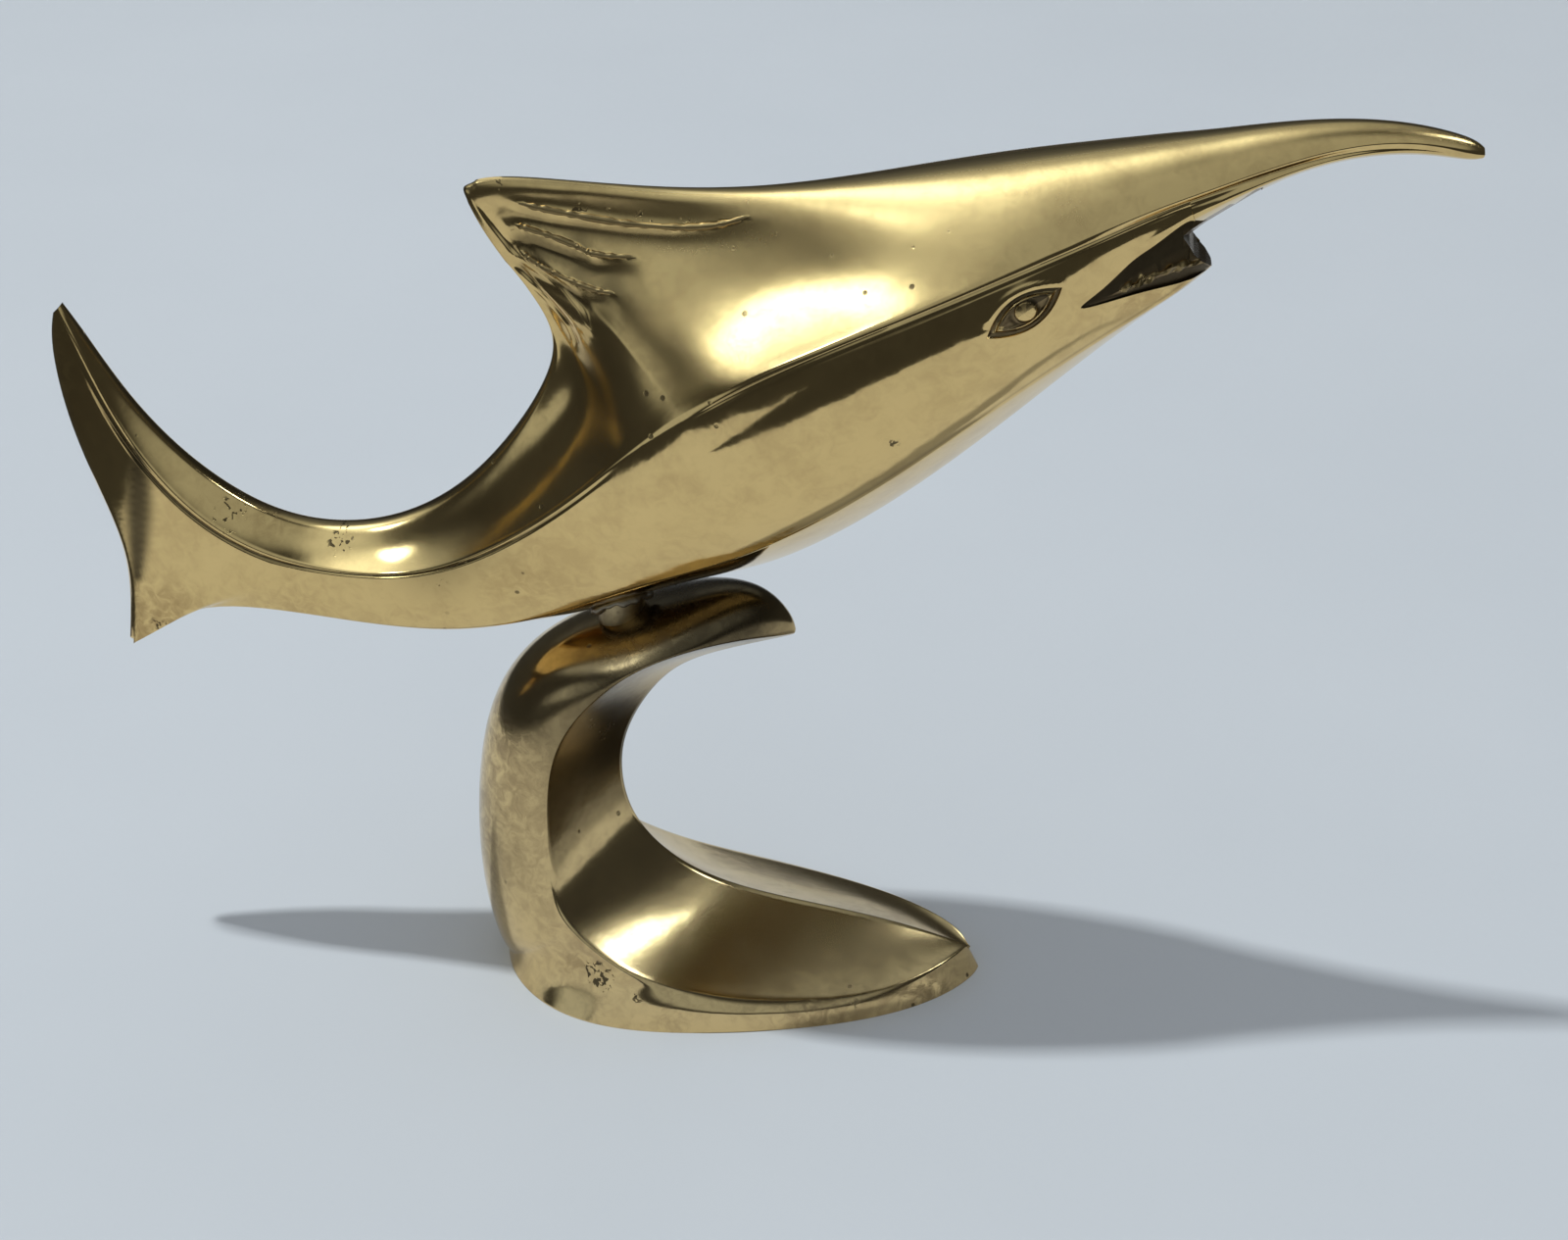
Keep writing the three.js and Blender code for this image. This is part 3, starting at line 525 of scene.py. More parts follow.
def fade_ends(along, start, end):
    """0 at both ends of a line and 1 between; the greater the numbers, the shorter the fades."""
    return np.clip(np.minimum(along * start, (1 - along) * end), 0, 1)


def full_turn(count):
    return np.linspace(0, 2 * math.pi, count, endpoint=False)


# ---- Fish ----
back_line = smooth_line(BACK_LINE, corners=(FIN_TIP_STATION,))
lateral_line = smooth_line(LATERAL_LINE)
lower_line = smooth_line(LOWER_LINE, corners=(LOBE_STATION,))
keel_line = smooth_line(KEEL_LINE, corners=(LOBE_STATION,))
bill_lower_line = smooth_line(BILL_LOWER_LINE, first=JAW_STATION)
bill_keel_line = smooth_line(BILL_KEEL_LINE, first=JAW_STATION)
roundness_line = smooth_line(BACK_ROUNDNESS)

# Rows of faces, and how much the first rows are crowded together
BACK_ROWS = 50
BACK_CROWDING = 1.35
SIDE_ROWS = 46
SIDE_CROWDING = 1.5
BELLY_ROWS = 8
CORNER_STEPS = 4
SHARP_ANGLE = math.radians(38)
CREASE_RADIUS = 0.55
KEEL_RADIUS = 0.8
# Fine grooves along the creases: depth, distance from the crease, width, the stations where each
# comes in and where it runs out
UPPER_GROOVES = (
    (0.28, 1.1, 0.4, 0.8, 3, 9, 14),
    (0.13, 0.75, 0.2, 17, 19, 29, 33),
    (0.07, 1.5, 0.25, 17, 19, 27, 30),
)
LOWER_GROOVES = ((0.10, 0.5, 0.22, 17, 20, 27, 28),)
# A groove of this depth gets the full painted shade in its colour
DARK_DENT = 0.26
# How much painted shade darkens the first rows of the back, along its top edge
TOP_SHADE = (0.8, 0.75, 0.55, 0.25)
# The channel under the crease of the head and the bill: depth, distance of its bottom, the stations
# where it comes in and where it runs out
CHANNEL_DEPTH = 0.75
CHANNEL_PLACE = 0.8
CHANNEL_ENDS = (24.6, 27.5, 29, 34.5)


def fish_sections(station, on_bill):
    """Half sections of the fish, with small rounds between back, side and belly, and their grooves."""
    back = back_line(station)
    lateral = lateral_line(station)
    lower = (bill_lower_line if on_bill else lower_line)(station)
    keel = (bill_keel_line if on_bill else keel_line)(station)
    round_share = np.clip(roundness_line(station), 0, 1)
    fullness = eased(station, *FULLER_STATIONS) - eased(station, *FLATTER_STATIONS)
    swell = between(END_SWELL, SIDE_SWELL, fullness)[:, None]
    wide = lateral[:, 2:] * HALF_FISH
    low = lower[:, 2:] * HALF_FISH
    edge = np.minimum(FIN_EDGE * (1 - round_share), wide)
    side_height = np.hypot(lateral[:, 0] - lower[:, 0], lateral[:, 1] - lower[:, 1])[:, None]
    belly_drop = lower[:, :2] - keel
    belly_height = np.sqrt((belly_drop ** 2).sum(axis=1)[:, None] + low ** 2)
    back_height = np.hypot(back[:, 0] - lateral[:, 0], back[:, 1] - lateral[:, 1])[:, None] + wide

    def back_width(t):
        reach = 1 + CREASE_DROP
        fall = np.maximum(0, reach ** 2 - (1 - t + CREASE_DROP) ** 2)
        round_back = np.sqrt(fall / (reach ** 2 - CREASE_DROP ** 2))
        rim = edge * np.sqrt(1 - (1 - np.minimum(1, t * 12)) ** 2)
        return rim + (wide - edge) * (round_share * round_back + (1 - round_share) * t ** FLARE_POWER)

    def side_dents(t):
        dents = np.zeros(t.shape)
        for grooves, away in ((UPPER_GROOVES, t * side_height), (LOWER_GROOVES, (1 - t) * side_height)):
            for depth, place, wideness, *ends in grooves:
                dents += depth * hump(away - place, wideness) * lasting(station, *ends)[:, None]
        return dents

    def side_width(t):
        away = t * side_height / CHANNEL_PLACE
        channel = CHANNEL_DEPTH * away * np.exp(1 - away) * (1 - t ** 4)
        channel *= lasting(station, *CHANNEL_ENDS)[:, None]
        return between(wide, low, t) + swell * side_height * 4 * t * (1 - t) - side_dents(t) - channel

    def belly_width(t):
        return low * (1 - t) + BELLY_SWELL * belly_height * 4 * t * (1 - t)

    none, whole = np.zeros(len(station)), np.ones(len(station))
    back_cut, side_cut, belly_cut = (
        reach(CREASE_RADIUS, height[:, 0]) for height in (back_height, side_height, belly_height)
    )
    keel_cut = reach(KEEL_RADIUS, belly_height[:, 0])
    back_shares = shares(none, whole - back_cut, BACK_ROWS, BACK_CROWDING)
    side_shares = shares(side_cut, whole - side_cut, SIDE_ROWS, SIDE_CROWDING)
    belly_shares = shares(belly_cut, whole - keel_cut, BELLY_ROWS)
    back_part = strip(back, lateral, back_width(back_shares), back_shares)
    side_part = strip(lateral, lower, side_width(side_shares), side_shares)
    belly_part = strip(lower, keel, belly_width(belly_shares), belly_shares)
    far_keel = belly_part[:, -1:, :] * (1, -1, 1)
    keel_points = corner_points(keel, none)
    keel_round = eased_corner(belly_part[:, -1:, :], keel_points, far_keel, 2 * CORNER_STEPS)
    crease, lower_crease = corner_points(lateral, wide[:, 0]), corner_points(lower, low[:, 0])
    sections = np.concatenate([
        back_part,
        eased_corner(back_part[:, -1:, :], crease, side_part[:, :1, :], CORNER_STEPS),
        side_part,
        eased_corner(side_part[:, -1:, :], lower_crease, belly_part[:, :1, :], CORNER_STEPS),
        belly_part,
        keel_round[:, :CORNER_STEPS, :],
    ], axis=1)
    sections[:, -1, 1] = 0
    dents = np.zeros(sections.shape[:2])
    first = BACK_ROWS + CORNER_STEPS
    dents[:, first:first + SIDE_ROWS + 1] = side_dents(side_shares)
    return sections, dents


def almond_place(x, z):
    """Places of the side view along and across the eye."""
    u = (x - EYE_CENTRE[0]) * math.cos(EYE_TILT) + (z - EYE_CENTRE[1]) * math.sin(EYE_TILT)
    v = (z - EYE_CENTRE[1]) * math.cos(EYE_TILT) - (x - EYE_CENTRE[0]) * math.sin(EYE_TILT)
    return u, v


def fish_relief(x, z):
    """How far the flank stands out: the fin's rays, flutes and rear band, the lip, the upper eyelid."""
    relief = np.zeros(x.shape)
    for line, depth in zip(FIN_RAYS, FLUTE_DEPTHS):
        away, along = line_distance(x, z, line)
        fade = fade_ends(along, 5, 2) ** 0.7
        relief += fade * RAY_SWELL * hump(away, RAY_SWELL_WIDTH)
        relief -= fade * depth * hump(away + FLUTE_PLACE, FLUTE_WIDTH)
    away, along = line_distance(x, z, REAR_EDGE)
    relief += fade_ends(along, 4, 5) * REAR_RISE * lasting(-away, *REAR_BAND)
    away, along = line_distance(x, z, REAR_GROOVE)
    relief -= fade_ends(along, 6, 6) * REAR_GROOVE_DEPTH * hump(away, REAR_GROOVE_WIDTH)
    away, along = line_distance(x, z, LIP_LINE)
    relief += fade_ends(along, 8, 8) * LIP_RISE * hump(away, LIP_WIDTH)
    u, v = almond_place(x, z)
    lid = v - (EYE_HEIGHT / 2 + LID_PLACE) * (1 - (2 * u / (EYE_LENGTH + 2.4)) ** 2)
    relief += LID_RISE * hump(lid, LID_WIDTH) * (np.abs(u) < EYE_LENGTH / 2 + 0.6) * (v > 0)
    return relief


def tail_leaf(x, z):
    """Where the painted shade on the tail is."""
    away, along = line_distance(x, z, TAIL_LEAF)
    half = np.sin(np.clip(along, 0, 1) * math.pi) ** 0.7 * TAIL_LEAF_HALF
    return (1 - eased(np.abs(away), half * 0.3, half + 1.1)) * (along > 0) * (along < 1)


def make_fish_body():
    bill, bill_dents = fish_sections(stations(BILL_COLUMNS)[::-1], True)
    body, body_dents = fish_sections(stations(FISH_COLUMNS)[::-1], False)
    points = np.concatenate([bill, body])
    # Painted shade: darker in the grooves, in the marks of FISH_SHADES, in the tail's leaf and along
    # the top edge
    dark = np.clip(np.concatenate([bill_dents, body_dents]) / DARK_DENT, 0, 1)
    dark = np.maximum(dark, painted(points, FISH_SHADES))
    leaf = tail_leaf(points[:, :, 0], points[:, :, 2])
    leaf[:, :BACK_ROWS + 2] = 0
    dark = np.maximum(dark, leaf)
    dark[:, :len(TOP_SHADE)] = np.maximum(dark[:, :len(TOP_SHADE)], TOP_SHADE)
    flank = points[:, :, 1] > 0.4
    relief = np.where(flank, fish_relief(points[:, :, 0], points[:, :, 2]), 0)
    points[:, :, 1] += relief
    points *= (FISH_SCALE, -1, FISH_SCALE)
    points[:, :, 2] += FISH_LIFT
    row = np.arange(points.shape[1])
    satin = np.clip((BACK_ROWS + 1 - row) / 3, 0, 1)[None, :] * np.ones(len(points))[:, None]
    satin *= between(0.25, 1, eased(points[:, :, 0] + 0.5 * (points[:, :, 2] - 110), -25, 5))
    # The hollow zone is painted shade: the flutes under the rays and the darkness gathered above
    fish = skin("fish", points, {
        "satin": satin,
        "hollow": np.maximum(0.8 * np.clip(-relief / 0.5, 0, 1), dark),
        "stain": painted(points, FISH_STAINS_AND_SHADE),
        "pitted": painted(points, FISH_PITS),
    })
    round_tips(fish)
    return fish


def round_tips(fish):
    """Wears the sharp tips of the tail and of the fin round."""
    bm = bmesh.new()
    bm.from_mesh(fish.data)
    for x, z, radius in WORN_TIPS:
        tip = Vector((x, 0, z)) * MM
        worn = [v for v in bm.verts if (v.co - tip).length < radius * MM]
        for _ in range(WEAR_PASSES):
            bmesh.ops.smooth_vert(
                bm, verts=worn, factor=0.5, use_axis_x=True, use_axis_y=True, use_axis_z=True,
            )
    bm.to_mesh(fish.data)
    bm.free()


def on_flank(body, spots, depth):
    """Points of the near flank at spots [x, z] of the body, sunk by the given depth."""
    points = []
    for (x, z), sunk in zip(spots, depth):
        _, place, _, _ = body.ray_cast(Vector((x, -3 * HALF_FISH, z)) * MM, Vector((0, 1, 0)))
        points.append((x, place.y / MM + sunk, z))
    return np.array(points)


def make_ridge(body, line, radius, side):
    """A thin raised line on one flank; both its ends sink into the body."""
    share = np.linspace(0, 1, RIDGE_STEPS)
    path = natural(np.array(line, float) + (0, FISH_LIFT))(share * (len(line) - 1))
    end = 1 - fade_ends(share, 7, 7)
    rough = radius * RIDGE_ROUGHNESS * np.sin(share * 61 + np.sin(share * 37) * 2)
    middle = on_flank(body, path, radius * (0.35 + 1.1 * end) + rough * 0.4)
    along = np.gradient(middle, axis=0)
    along /= np.linalg.norm(along, axis=1)[:, None]
    across = np.cross(along, (0.0, -1.0, 0.0))
    across /= np.linalg.norm(across, axis=1)[:, None]
    out = np.cross(across, along)
    turn = full_turn(RIDGE_SIDES)[None, :, None]
    size = (radius + rough)[:, None, None]
    round_it = np.cos(turn) * across[:, None, :] + np.sin(turn) * out[:, None, :]
    return tube("ridge", (middle[:, None, :] + size * round_it) * (1, -side, 1))


def eye_depth(u, v, inset):
    """Depth of the engraved eye: the groove in the lids, the lid lines, the corners and the pupil."""
    depth = np.interp(inset, *EYE_PROFILE)
    away = np.hypot(u - PUPIL_PLACE, v)
    radius, width, groove_depth = PUPIL_GROOVE
    eye_corner = np.clip((np.abs(u - PUPIL_PLACE) - 1.9) / 2.4, 0, 1)
    ball = eased(inset, 1.0, 1.3)
    depth -= ball * 0.30 * eye_corner * (1 - np.abs(v) / 2)
    depth = between(depth, groove_depth, ball * hump(away - radius, width))
    return between(depth, PUPIL_DEPTH + 0.04 * away ** 2, 1 - eased(away, 1.35, 1.6))


def make_eye_cutter(body, side):
    """What is engraved for one eye: rings that step in from the lids to the middle."""
    turn = full_turn(110)
    rings = []
    for inset in (0, *np.linspace(0, EYE_HEIGHT / 2 - 0.06, 30)):
        u = (EYE_LENGTH / 2 - 2 * inset) * np.cos(turn)
        v = (EYE_HEIGHT / 2 - inset) * np.sin(turn) * np.abs(np.sin(turn))
        x = EYE_CENTRE[0] + u * math.cos(EYE_TILT) - v * math.sin(EYE_TILT)
        z = EYE_CENTRE[1] + u * math.sin(EYE_TILT) + v * math.cos(EYE_TILT) + FISH_LIFT
        depth = eye_depth(u, v, inset) if rings else np.full(len(turn), -2.0)
        rings.append(on_flank(body, zip(x, z), depth))
    cutter = tube("eye", np.array(rings) * (1, -side, 1))
    second_finish(cutter)
    # Only the deep faces of the eye keep the second finish: painted shade in its groove
    for face in cutter.data.polygons:
        u, v = almond_place(face.center.x / MM, face.center.z / MM - FISH_LIFT)
        inset = EYE_HEIGHT / 2 * (1 - (2 * u / EYE_LENGTH) ** 2) - abs(v)
        depth = eye_depth(np.array([u]), np.array([v]), max(inset, 0))[0]
        face.material_index = int(depth > EYE_SHADE_DEPTH)
    return cutter


def flat_prism(name, outline, half_width):
    """A side outline made as thick as asked."""
    rings = [[(x, y, z) for x, z in outline] for y in (-half_width, half_width)]
    return tube(name, np.array(rings, float))


def make_jaw_gap():
    """What is cut away between bill and jaw: its top is the V-shaped underside of the bill."""
    rings = [
        [
            (x, 0, z), (x, -HALF_FISH, z + HALF_FISH * rise), (x, -HALF_FISH, z - GAP_DEPTH),
            (x, HALF_FISH, z - GAP_DEPTH), (x, HALF_FISH, z + HALF_FISH * rise),
        ]
        for x, z, rise in PALATE_LINE
    ]
    block = tube("under the bill", np.array(rings, float))
    gap = flat_prism("gap", JAW_GAP, HALF_FISH)
    carved(gap, block, "INTERSECT")
    return gap


def make_mouth_cutter(side):
    """The pocket at one side of the mouth: its floor rises to a ridge along the lower lip."""
    lip = closed_curve(MOUTH_OUTLINE, 60)
    ridge = closed_curve(MOUTH_RIDGE, 60)
    outside = lip.copy()
    outside[:, 1] = HALF_FISH
    rings = np.stack([outside, lip, between(lip, ridge, 0.35), between(lip, ridge, 0.7), ridge])
    rings[:, :, 1] *= side
    return tube("mouth", rings)


def make_scar(side):
    """The lumpy casting ridge along the floor of the mouth."""
    share = np.linspace(0, 1, 60)
    middle = natural(np.array(SCAR_LINE, float))(share * (len(SCAR_LINE) - 1))
    turn = full_turn(12)
    end = np.sqrt(np.clip(np.minimum(share, 1 - share) * 6, 0.02, 1))
    lump = 1 + sum(
        SCAR_LUMP_SIZE * np.sin(share[:, None] * pace + phase + 1.5 * np.sin(turn * around + phase))
        for pace, around, phase in SCAR_LUMPS
    )
    size = SCAR_RADIUS * end[:, None] * lump
    rings = middle[:, None, :] + places(0 * size, size * np.cos(turn), size * np.sin(turn))
    return tube("scar", rings * (1, side, 1))


def make_fish():
    body = make_fish_body()
    bpy.context.view_layer.update()
    sides = (-1, 1)
    eyes = [make_eye_cutter(body, side) for side in sides]
    ridges = [
        make_ridge(body, line, size, side) for line, size in zip(FIN_RAYS, RAY_SIZES) for side in sides
    ]
    scars = [make_scar(side) for side in sides]
    pockets = [make_jaw_gap(), *(make_mouth_cutter(side) for side in sides)]
    for part in pockets + scars:
        part.data.transform(Matrix.Translation((0, 0, FISH_LIFT * MM)))
    # The walls of the mouth pockets and of the gap under the bill get painted shade: the darker second
    # finish
    for pocket in pockets:
        second_finish(pocket)
    two_finishes(body)
    for cutter in eyes + pockets:
        carved(body, cutter)
    for part in ridges + scars:
        carved(body, part, "UNION")
    return body


# ---- Stand ----
outer_line = smooth_line(OUTER_LINE, corners=(BASE_CORNER_STATION,))
rim_line = smooth_line(RIM_LINE)
ridge_line = smooth_line(RIDGE_LINE)
wrap_line = smooth_line(WRAP)

STAND_COLUMNS = [(0, 5, 60), (5, 14, 90), (14, 24, 100)]
BASE_ROWS = 4
OUTER_ROWS = 30
INNER_ROWS = 26


def stand_sections(station):
    outer = outer_line(station)
    rim = rim_line(station)
    ridge = ridge_line(station)
    wrap = np.clip(wrap_line(station), 0, 1)
    outer_y, rim_y = outer[:, 2:] * HALF_FOOT, rim[:, 2:] * HALF_FOOT
    none, whole = np.zeros(len(station)), np.ones(len(station))
    wall = np.sqrt(((outer[:, :2] - rim[:, :2]) ** 2).sum(axis=1) + (outer_y - rim_y)[:, 0] ** 2)
    inner = np.sqrt(((ridge - rim[:, :2]) ** 2).sum(axis=1) + rim_y[:, 0] ** 2)
    wall_cut, rim_cut = reach(RIM_RADIUS, wall), reach(RIM_RADIUS, inner)
    t = shares(none, whole - wall_cut, OUTER_ROWS)
    along = between(t, (1 - np.cos(t * WRAP_ANGLE)) / (1 - math.cos(WRAP_ANGLE)), wrap)
    across = between(t ** WALL_STEEPNESS, np.sin(t * WRAP_ANGLE) / math.sin(WRAP_ANGLE), wrap)
    outer_part = strip(outer, rim, between(outer_y, rim_y, across), along)
    t = shares(rim_cut, whole, INNER_ROWS)
    away = outer[:, :2] - ridge
    away = away / np.maximum(np.hypot(away[:, 0], away[:, 1])[:, None], 1e-6)
    hollow = INNER_HOLLOW * rim[:, 2:] * 4 * t * (1 - t)
    inner_part = strip(rim, ridge, rim_y * (1 - t), t)
    inner_part += places(away[:, :1] * hollow, 0 * hollow, away[:, 1:] * hollow)
    rim_corner = corner_points(rim, rim_y[:, 0])
    base_shares = np.tile(np.arange(BASE_ROWS) / BASE_ROWS, (len(station), 1))
    sections = np.concatenate([
        strip(outer, outer, outer_y * base_shares, base_shares),
        outer_part,
        eased_corner(outer_part[:, -1:, :], rim_corner, inner_part[:, :1, :], CORNER_STEPS),
        inner_part,
    ], axis=1)
    sections[:, -1, 1] = 0
    return sections


def make_stand():
    points = stand_sections(stations(STAND_COLUMNS))
    points[:, :, 1] *= -1
    points[:, :, 2] = np.maximum(points[:, :, 2], 0)
    row = np.arange(points.shape[1])
    inner = np.clip((row - BASE_ROWS - OUTER_ROWS - 2) / 3, 0, 1)[None, :]
    satin = inner * between(0.42, 0.15, eased(points[:, :, 2], 16, 26))
    # The hollow zone of the stand is painted shade, laid out by STAND_SHADES
    return skin("stand", points, {
        "satin": satin,
        "hollow": painted(points, STAND_SHADES),
        "stain": painted(points, STAND_STAINS) * (1 - inner),
        "pitted": painted(points, STAND_PITS) * (1 - inner),
    })


fish = make_fish()
stand = make_stand()


# ---- Post and braze ----
def wobble(angle, seed, depth):
    """An uneven edge round a circle."""
    draw = np.random.default_rng(seed)
    waves = [
        (n, draw.uniform(0.3, 1) / n ** 0.5, draw.uniform(0, 2 * math.pi)) for n in (2, 3, 5, 7, 11)
    ]
    return depth * sum(size * np.sin(n * angle + turn) for n, size, turn in waves)


def make_post():
    angle = full_turn(POST_SIDES)
    rings = []
    for height in np.linspace(POST_FOOT, POST_HEAD, 30):
        radius = POST_RADIUS - 0.12 + wobble(angle + height * 0.35, 4, 0.05)
        rings.append(places(
            POST_X + radius * np.cos(angle), radius * np.sin(angle), np.full(POST_SIDES, height),
        ))
    return tube("post", np.array(rings))


def belly_height(x, y):
    """Height of the underside of the fish over a point of the stand, in millimetres."""
    _, place, _, _ = fish.ray_cast(Vector((x, y, POST_FOOT)) * MM, Vector((0, 0, 1)))
    return place.z / MM


def make_bead():
    """The braze metal round the post, just under the belly."""
    around = full_turn(96)
    turn = full_turn(14)
    middle_radius = POST_RADIUS + BEAD_RADIUS * 0.75
    rings = []
    for angle in around:
        waves = sum(share * math.sin(n * angle + start) for n, start, share in BEAD_WAVES)
        size = BEAD_RADIUS * (1 + waves)
        out = middle_radius + size * np.cos(turn)
        x, y = POST_X + middle_radius * math.cos(angle), middle_radius * math.sin(angle)
        z = belly_height(x, y) - size * 0.9
        rings.append(places(
            POST_X + out * math.cos(angle), out * math.sin(angle), z + size * np.sin(turn),
        ))
    return tube("braze", np.array([*rings, rings[0]]))


post = make_post()
braze = make_bead()


# ---- Finishes ----
def feed(tree, node, inputs):
    """Gives a node its inputs; each is a value or the output of another node."""
    for key, value in inputs.items():
        if isinstance(value, bpy.types.NodeSocket):
            tree.links.new(value, node.inputs[key])
        else:
            node.inputs[key].default_value = value


def add(tree, kind, inputs=None, **settings):
    """A shader node with its settings and inputs."""
    made = tree.nodes.new("ShaderNode" + kind)
    for key, value in settings.items():
        setattr(made, key, value)
    feed(tree, made, inputs or {})
    return made


def sums(tree, operation, a, b=0.0, clamp=False):
    return add(tree, "Math", {0: a, 1: b}, operation=operation, use_clamp=clamp).outputs[0]


def times(tree, a, b):
    return sums(tree, "MULTIPLY", a, b)


def ramped(tree, value, low, high, to_low=0.0, to_high=1.0):
    inputs = {"Value": value, "From Min": low, "From Max": high, "To Min": to_low, "To Max": to_high}
    return add(tree, "MapRange", inputs, interpolation_type="SMOOTHSTEP").outputs["Result"]


def mixed(tree, share, a, b, blend="MIX"):
    """Two colours mixed by a share."""
    return add(tree, "Mix", {0: share, 6: a, 7: b}, data_type="RGBA", blend_type=blend).outputs[2]


def new_group(name, inputs, outputs):
    """An empty node group with the named sockets of each kind."""
    tree = bpy.data.node_groups.new(name, "ShaderNodeTree")
    for way, sockets in (("INPUT", inputs), ("OUTPUT", outputs)):
        for kind, keys in sockets.items():
            for key in keys:
                tree.interface.new_socket(key, in_out=way, socket_type="NodeSocket" + kind)
    return tree, tree.nodes.new("NodeGroupInput").outputs, tree.nodes.new("NodeGroupOutput")


def noise(tree, place, scale, detail=3.0, roughness=0.55, distortion=0.0):
    inputs = {"Vector": place, "Scale": scale, "Detail": detail, "Roughness": roughness}
    return add(tree, "TexNoise", {**inputs, "Distortion": distortion}).outputs["Fac"]


def make_tarnish_group():
    """Soft brown clouds, small stains and sparse casting pits."""
    tree, given, out = new_group(
        "tarnish",
        {"Vector": ("Place",), "Float": ("Clouds", "Pits", "Pitted")},
        {"Float": ("Cloud", "Stain", "Pit", "Grain")},
    )
    place = given["Place"]
    big = noise(tree, place, 70.0, 4.0, 0.6, 0.4)
    small = noise(tree, place, 420.0, 4.0, 0.65, 0.8)
    both = sums(tree, "ADD", times(tree, big, 0.6), times(tree, small, 0.4))
    cloud = ramped(tree, both, 0.42, 0.66)
    stain = ramped(tree, noise(tree, place, 190.0, 4.0, 0.6, 1.4), 0.56, 0.76)
    cells = add(tree, "TexVoronoi", {"Vector": place, "Scale": 230.0, "Randomness": 1.0})
    where = ramped(tree, noise(tree, place, 45.0, 2.0), 0.56, 0.64)
    spot = ramped(tree, cells.outputs["Distance"], 0.11, 0.06)
    spread = times(tree, times(tree, spot, where), given["Pits"])
    rough = ramped(tree, noise(tree, place, 900.0, 2.0, 0.6, 0.6), 0.60, 0.52)
    holes = times(tree, given["Pitted"], sums(tree, "SUBTRACT", 1.0, rough))
    cluster = ramped(tree, holes, 0.35, 0.6)
    feed(tree, out, {
        "Cloud": times(tree, cloud, given["Clouds"]), "Stain": stain, "Grain": small,
        "Pit": sums(tree, "MAXIMUM", spread, cluster),
    })
    return tree


def make_brass_group(tarnish):
    """Colour, roughness and height of old brass; the hollow zone darkens the colour as painted shade.
    """
    tree, given, out = new_group(
        "old brass",
        {
            "Color": ("Clean", "Brown", "Dark"),
            "Float": ("Roughness", "Clouds", "Pits", "Satin", "Hollow", "Stain", "Pitted"),
        },
        {"Color": ("Colour",), "Float": ("Roughness", "Height")},
    )
    place = add(tree, "TexCoord").outputs["Object"]
    marks = {key: given[key] for key in ("Clouds", "Pits", "Pitted")}
    age = add(tree, "Group", {"Place": place, **marks}, node_tree=tarnish).outputs
    colour = mixed(tree, times(tree, age["Cloud"], 0.8), given["Clean"], given["Brown"])
    near = times(tree, given["Stain"], ramped(tree, age["Grain"], 0.30, 0.66))
    stain = sums(tree, "ADD", near, times(tree, age["Stain"], 0.2), True)
    colour = mixed(tree, stain, colour, given["Brown"])
    colour = mixed(tree, times(tree, age["Pit"], 0.9), colour, given["Dark"])
    # Painted shade: the hollow zone darkens the colour towards Dark
    colour = mixed(tree, times(tree, given["Hollow"], 0.88), colour, given["Dark"])
    fine = noise(tree, place, 2600.0, 2.0, 0.6)
    rough = given["Roughness"]
    for part, share in (
        (age["Cloud"], 0.08), (given["Satin"], 0.17), (near, 0.12), (given["Hollow"], 0.12),
        (age["Pit"], 0.3), (fine, 0.03),
    ):
        rough = sums(tree, "ADD", rough, times(tree, part, share), True)
    height = 0.0
    for part, share in (
        (noise(tree, place, 95.0, 1.0, 0.4), 0.9), (noise(tree, place, 330.0, 2.0, 0.5), 0.10),
        (times(tree, fine, given["Satin"]), 0.01), (near, -0.05), (age["Pit"], -0.25),
    ):
        height = sums(tree, "ADD", times(tree, part, share), height)
    feed(tree, out, {"Colour": colour, "Roughness": rough, "Height": height})
    return tree


tarnish_group = make_tarnish_group()
brass_group = make_brass_group(tarnish_group)


def new_finish(name):
    finish = bpy.data.materials.new(name)
    finish.use_nodes = True
    return finish, finish.node_tree, finish.node_tree.nodes["Principled BSDF"]


def brass(name, clean, brown, dark, roughness, clouds, pits, bump=0.00018):
    """One brass finish; where it is satin, darkened by painted shade, stained or pitted comes from the
    piece.
    """
    finish, tree, shader = new_finish(name)
    given = {"Roughness": roughness, "Clouds": clouds, "Pits": pits}
    for key, colour in (("Clean", clean), ("Brown", brown), ("Dark", dark)):
        given[key] = (*colour, 1.0)
    for key in ZONES:
        given[key.capitalize()] = add(tree, "Attribute", attribute_name=key).outputs["Fac"]
    old = add(tree, "Group", given, node_tree=brass_group).outputs
    relief = add(tree, "Bump", {"Height": old["Height"], "Strength": 1.0, "Distance": bump})
    feed(tree, shader, {
        "Metallic": 1.0, "Base Color": old["Colour"], "Roughness": old["Roughness"],
        "Normal": relief.outputs["Normal"],
    })
    return finish


polished_brass = brass(
    "polished brass", (0.84, 0.60, 0.255), (0.53, 0.35, 0.145), (0.065, 0.047, 0.025), 0.05, 0.5, 0.8,
)
satin_brass = brass(
    "satin brass", (0.80, 0.59, 0.285), (0.42, 0.295, 0.145), (0.055, 0.042, 0.025), 0.07, 0.6, 0.9,
)
dull_brass = brass(
    "dull brass", (0.46, 0.36, 0.20), (0.22, 0.15, 0.08), (0.03, 0.02, 0.015), 0.35, 0.9, 0.6,
)
